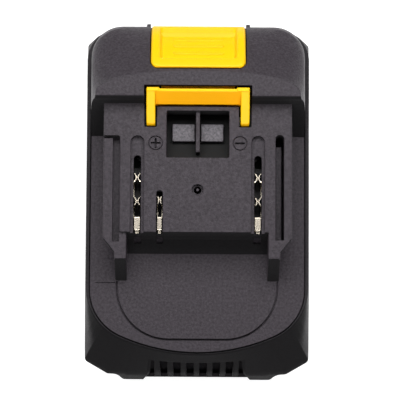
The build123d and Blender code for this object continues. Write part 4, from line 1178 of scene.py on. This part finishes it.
def make_window_shade_plate(material):
    """A black plate round the port pieces, with a slope at its rear: painted shade in the deep window."""
    piece = as_object(raised(rectangle(-10.15, 11.0, 10.15, 26.45), 48.4, 49.3))
    slope = [(11.1, 48.5), (17.2, 48.5), (17.2, 50.2), (11.1, 54.6)]
    combine(piece, [raised(slope, -10.14, 10.14, axis="X")], "UNION")
    combine(piece, mirrored_pair(raised(rectangle(0.85, 17.25, 8.5, 23.35), 47.0, 51.0)), "DIFFERENCE")
    return finished(piece, "Window_Seat", material)


def make_port_pieces(material):
    """The two pale blocks that stand inside the deck's window."""
    right, left = mirrored_pair(raised(rectangle(0.975, 17.4, 8.375, 23.2, 0.3), BOARD_TOP, 52.0, top=0.35))
    return finished(combine(as_object(right), [left], "UNION"), "Port_Pieces", material)


def declare(piece, body, slot, *nodes):
    """Says which body a piece rides and which CAD nodes it stands for; the slot it is given is not used."""
    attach(piece, body)
    if nodes:
        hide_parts(*nodes)


def make_floor(settings):
    """A wide pale floor under the pack, which fills the picture, and a plain grey world."""
    mesh = bpy.data.meshes.new("Floor")
    mesh.from_pydata([(*point, 0.0) for point in rectangle(-3.0, -3.0, 3.0, 3.0)], [], [(0, 1, 2, 3)])
    material = bpy.data.materials.new("Pale Floor")
    material.use_nodes = True
    tree = material.node_tree
    path = add_node(tree, "ShaderNodeLightPath").outputs
    seen = math_node(tree, "MAXIMUM", path["Is Camera Ray"], path["Is Glossy Ray"])
    seen = math_node(tree, "MAXIMUM", seen, path["Is Transmission Ray"])
    set_inputs(tree, tree.nodes["Principled BSDF"], {
        "Base Color": rgba(settings.floor_colour), "Roughness": 0.9, "Specular IOR Level": 0.1,
        "Emission Color": rgba((1.0, 1.0, 1.0)),
        "Emission Strength": math_node(tree, "MULTIPLY", seen, FLOOR_GLOW),
    })
    mesh.materials.append(material)
    placed("Floor", mesh)
    world = bpy.data.worlds.new("Studio World")
    world.use_nodes = True
    world.node_tree.nodes["Background"].inputs["Color"].default_value = rgba((0.13, 0.13, 0.13))
    bpy.context.scene.world = world


def add_lamp(name, place, target, size, power):
    """A soft rectangular lamp at a place, turned to a target."""
    lamp = bpy.data.lights.new(name, "AREA")
    lamp.shape = "RECTANGLE"
    lamp.size, lamp.size_y = size
    lamp.energy = power
    holder = placed(name, lamp)
    holder.location = place
    holder.rotation_euler = (Vector(target) - Vector(place)).to_track_quat("-Z", "Y").to_euler()


def make_lamps(settings):
    """A soft lamp over the latch end, a strip lamp at each side, and a fill from the rear."""
    middle = (0.0, 0.0, settings.look_height)
    add_lamp("Key Lamp", (0.0, 0.2, 0.41), middle, (0.45, 0.26), settings.key_power)
    for name, side in (("Right Lamp", 1), ("Left Lamp", -1)):
        add_lamp(name, (side * 0.8, 0.1, 0.35), middle, (0.25, 0.9), settings.side_power)
    add_lamp("Rear Lamp", (0.0, -0.9, 0.4), middle, (0.8, 0.3), settings.rear_power)


def make_camera(settings):
    """The camera nearly overhead, set so that the pack lies in the picture as photographed."""
    data = bpy.data.cameras.new("Camera")
    data.sensor_width = 36.0
    data.lens = settings.focal_pixels * data.sensor_width / PICTURE_SIDE
    data.shift_x = (PICTURE_SIDE / 2 - settings.look_pixel_x) / PICTURE_SIDE
    data.shift_y = (settings.look_pixel_y - PICTURE_SIDE / 2) / PICTURE_SIDE
    camera = placed("Camera", data)
    angle = settings.camera_height
    back = Vector((0.0, -math.cos(angle), math.sin(angle)))
    camera.location = Vector((0.0, 0.0, settings.look_height)) + back * settings.camera_distance
    turn = (-back).to_track_quat("-Z", "Y").to_matrix() @ Matrix.Rotation(settings.camera_roll, 3, "Z")
    camera.rotation_euler = turn.to_euler()
    bpy.context.scene.camera = camera


class BATTERY_OT_studio(bpy.types.Operator):
    """Makes the floor, the lamps and the camera"""

    bl_idname = "battery.studio"
    bl_label = "Studio"

    def execute(self, context):
        settings = context.scene.battery_studio
        make_floor(settings)
        make_lamps(settings)
        make_camera(settings)
        context.scene.view_settings.view_transform = "Standard"
        return {"FINISHED"}


class BATTERY_OT_lower_case(bpy.types.Operator):
    """Makes the lower case, the cup that holds the cells, with its rear vents"""

    bl_idname = "battery.lower_case"
    bl_label = "Lower Case"

    def execute(self, context):
        plastic = context.scene.battery_plastic
        # Painted shade: the lower case takes a darker copy of the case charcoal, and its rear-facing faces
        # turn to the shade colour sooner.
        material = grained(
            "Lower Case Shaded Charcoal", plastic.lower_shaded_colour, plastic, 0.55, tones=CASE_TONES, bump=CASE_BUMP,
            specular=CASE_SHINE, shade=plastic.rear_shade_colour, steep=(0.1, 0.34),
        )
        for piece in (make_lower_shell(material), make_vent_ribs(material)):
            declare(piece, "pack", "lower_case", "lower_case")
        return {"FINISHED"}


class BATTERY_OT_upper_case(bpy.types.Operator):
    """Makes the upper case with its hood, deck and rails"""

    bl_idname = "battery.upper_case"
    bl_label = "Upper Case"

    def execute(self, context):
        plastic = context.scene.battery_plastic
        # Painted shade on the upper case's rear-facing faces, and a painted highlight on its rounded edges.
        material = grained(
            "Upper Case Charcoal", plastic.case_colour, plastic, 0.43, tones=CASE_TONES, bump=CASE_BUMP,
            specular=CASE_SHINE, shade=plastic.rear_shade_colour,
        )
        declare(make_upper_shell(material), "pack", "upper_case", "upper_case")
        return {"FINISHED"}


class BATTERY_OT_latch(bpy.types.Operator):
    """Makes the latch: button, cross bar and hooks"""

    bl_idname = "battery.latch"
    bl_label = "Latch"

    def execute(self, context):
        plastic = context.scene.battery_plastic
        # Painted shade: the latch's rear-facing faces turn to a deeper yellow.
        material = grained(
            "Latch Yellow", plastic.latch_colour, plastic, 0.42, tones=(0.96, 1.0), bump=0.008 * MM,
            specular=0.2, cloud=0.5, shade=plastic.latch_shade, steep=(0.25, 0.95), edge_highlight_and_pits=False,
        )
        for piece in (make_latch_moulding(material), make_scoop_ridges(material)):
            declare(piece, "latch", "latch", "latch")
        return {"FINISHED"}


class BATTERY_OT_contacts(bpy.types.Operator):
    """Makes the spring contacts, the pale port pieces and the black plate of painted shade round them"""

    bl_idname = "battery.contacts"
    bl_label = "Contacts"

    def execute(self, context):
        plastic = context.scene.battery_plastic
        colour = context.scene.battery_metal.contact_colour
        metal = grained("Contact Metal", colour, plastic, 0.24, 1.0, bump=0.002 * MM)
        for name, x, half, front, pinches, spread in (
            ("Contact_Positive", -POWER_X, 1.15, 6.3, (-2.98, 4.79), 0.98),
            ("Contact_Negative", POWER_X, 1.15, 6.3, (-2.98, 4.79), 0.98),
            ("Contact_Signal", SIGNAL_X, 0.95, -1.0, (-2.6,), 0.5),
        ):
            piece = make_contact(name + "_Spring", x, half, front, pinches, spread, metal)
            declare(piece, "pack", "contact_metal", name.lower())
        port = grained("Port Plastic", (0.128, 0.117, 0.133), plastic, 0.55, tones=(0.35, 1.65))
        declare(make_port_pieces(port), "pack", "port_plastic", "port_blocks")
        # Painted shade: a near-black plate and slope fill the deep window round the port pieces.
        black = grained("Window Shade Black", (0.004, 0.004, 0.0043), plastic, 0.8)
        declare(make_window_shade_plate(black), "pack", "upper_case")
        return {"FINISHED"}


class BATTERY_OT_screws(bpy.types.Operator):
    """Makes the screws that hold the two case halves and the board"""

    bl_idname = "battery.screws"
    bl_label = "Screws"

    def execute(self, context):
        steel = context.scene.battery_metal.steel_colour
        material = grained("Dark Zinc", steel, context.scene.battery_plastic, 0.35, 1.0)
        case_places = [(x, y, 1.9) for x, y in SCREW_PLACES]
        board_places = [(x, y, BOARD_TOP) for x in (-18.5, 18.5) for y in (13.15, 31.95)]
        for name, places, shape, flip, node in (
            ("Case_Screw_Set", case_places, (2.1, 1.4, 1.2, 16.0, 0.7), True, "case_screws"),
            ("Board_Screw_Set", board_places, (1.9, 1.2, 0.9, 5.0, 0.6), False, "board_screws"),
        ):
            piece = make_copies(name, places, screw_shape(*shape), flip, material)
            declare(piece, "pack", "screw_steel", node)
        return {"FINISHED"}


class BATTERY_OT_insides(bpy.types.Operator):
    """Finishes the cells, the board and all that shows through the openings, and makes the latch springs"""

    bl_idname = "battery.insides"
    bl_label = "Insides"

    def execute(self, context):
        plastic = context.scene.battery_plastic
        metal = context.scene.battery_metal
        strips = ("nickel_strips_left", "nickel_strips_right", "lead_positive", "lead_negative")
        # Painted shade: the contact block, pale plastic in itself, takes the near-black holder colour as the
        # shade inside the slots.
        holders = ("contact_block", "cell_holder_left", "cell_holder_right")
        sheets = ("strip_sheet_left", "strip_sheet_right", "barrier_sheet")
        cells = [name for name in NODES if name.startswith("cell_") and name[5:].isdigit()]
        for name, colour, roughness, metallic, nodes in (
            ("Nickel Strip", metal.nickel_colour, 0.3, 1.0, strips),
            ("Holder Plastic With Block Shade", (0.02, 0.02, 0.022), 0.5, 0.0, holders),
            ("Ring Paper", (0.7, 0.68, 0.6), 0.85, 0.0, ("cell_rings",)),
            ("Sheet Paper", (0.10, 0.16, 0.13), 0.8, 0.0, sheets),
            ("Board Green", (0.003, 0.022, 0.009), 0.35, 0.0, ("circuit_board",)),
            ("Chip Plastic", (0.01, 0.01, 0.01), 0.5, 0.0, ("control_chip", "power_transistors")),
            ("Capacitor Can", (0.5, 0.5, 0.52), 0.3, 1.0, ("capacitors",)),
            ("Fuse Ceramic", (0.7, 0.7, 0.66), 0.4, 0.0, ("fuse",)),
            ("Foam", (0.02, 0.02, 0.02), 0.95, 0.0, ("foam_pads",)),
            ("Cell Sleeve", (0.008, 0.03, 0.07), 0.4, 0.0, cells),
        ):
            material = grained(name, colour, plastic, roughness, metallic)
            for slot in [slot for node in nodes for slot in NODES[node].material_slots]:
                slot.material = material
        spring = grained("Spring Steel", metal.spring_colour, plastic, 0.25, 1.0)
        declare(make_springs(spring), "pack", "spring_steel", "latch_spring_left", "latch_spring_right")
        return {"FINISHED"}


class BATTERY_PT_panel(bpy.types.Panel):
    """Lists the pack's pieces and its studio"""

    bl_idname = "BATTERY_PT_panel"
    bl_label = "Battery Pack"
    bl_space_type = "VIEW_3D"
    bl_region_type = "UI"
    bl_category = "Battery Pack"

    def draw(self, context):
        for operator in OPERATORS:
            self.layout.operator(operator.bl_idname)


OPERATORS = (
    BATTERY_OT_studio,
    BATTERY_OT_lower_case,
    BATTERY_OT_upper_case,
    BATTERY_OT_latch,
    BATTERY_OT_contacts,
    BATTERY_OT_screws,
    BATTERY_OT_insides,
)
CLASSES = (PlasticSettings, MetalSettings, StudioSettings, *OPERATORS, BATTERY_PT_panel)


def register():
    for entry in CLASSES:
        bpy.utils.register_class(entry)
    bpy.types.Scene.battery_plastic = PointerProperty(type=PlasticSettings)
    bpy.types.Scene.battery_metal = PointerProperty(type=MetalSettings)
    bpy.types.Scene.battery_studio = PointerProperty(type=StudioSettings)


def unregister():
    del bpy.types.Scene.battery_studio
    del bpy.types.Scene.battery_metal
    del bpy.types.Scene.battery_plastic
    for entry in reversed(CLASSES):
        bpy.utils.unregister_class(entry)


def main():
    """Makes every piece in order."""
    register()
    bpy.ops.battery.studio()
    bpy.ops.battery.lower_case()
    bpy.ops.battery.upper_case()
    bpy.ops.battery.latch()
    bpy.ops.battery.contacts()
    bpy.ops.battery.screws()
    bpy.ops.battery.insides()


if __name__ == "__main__":
    main()
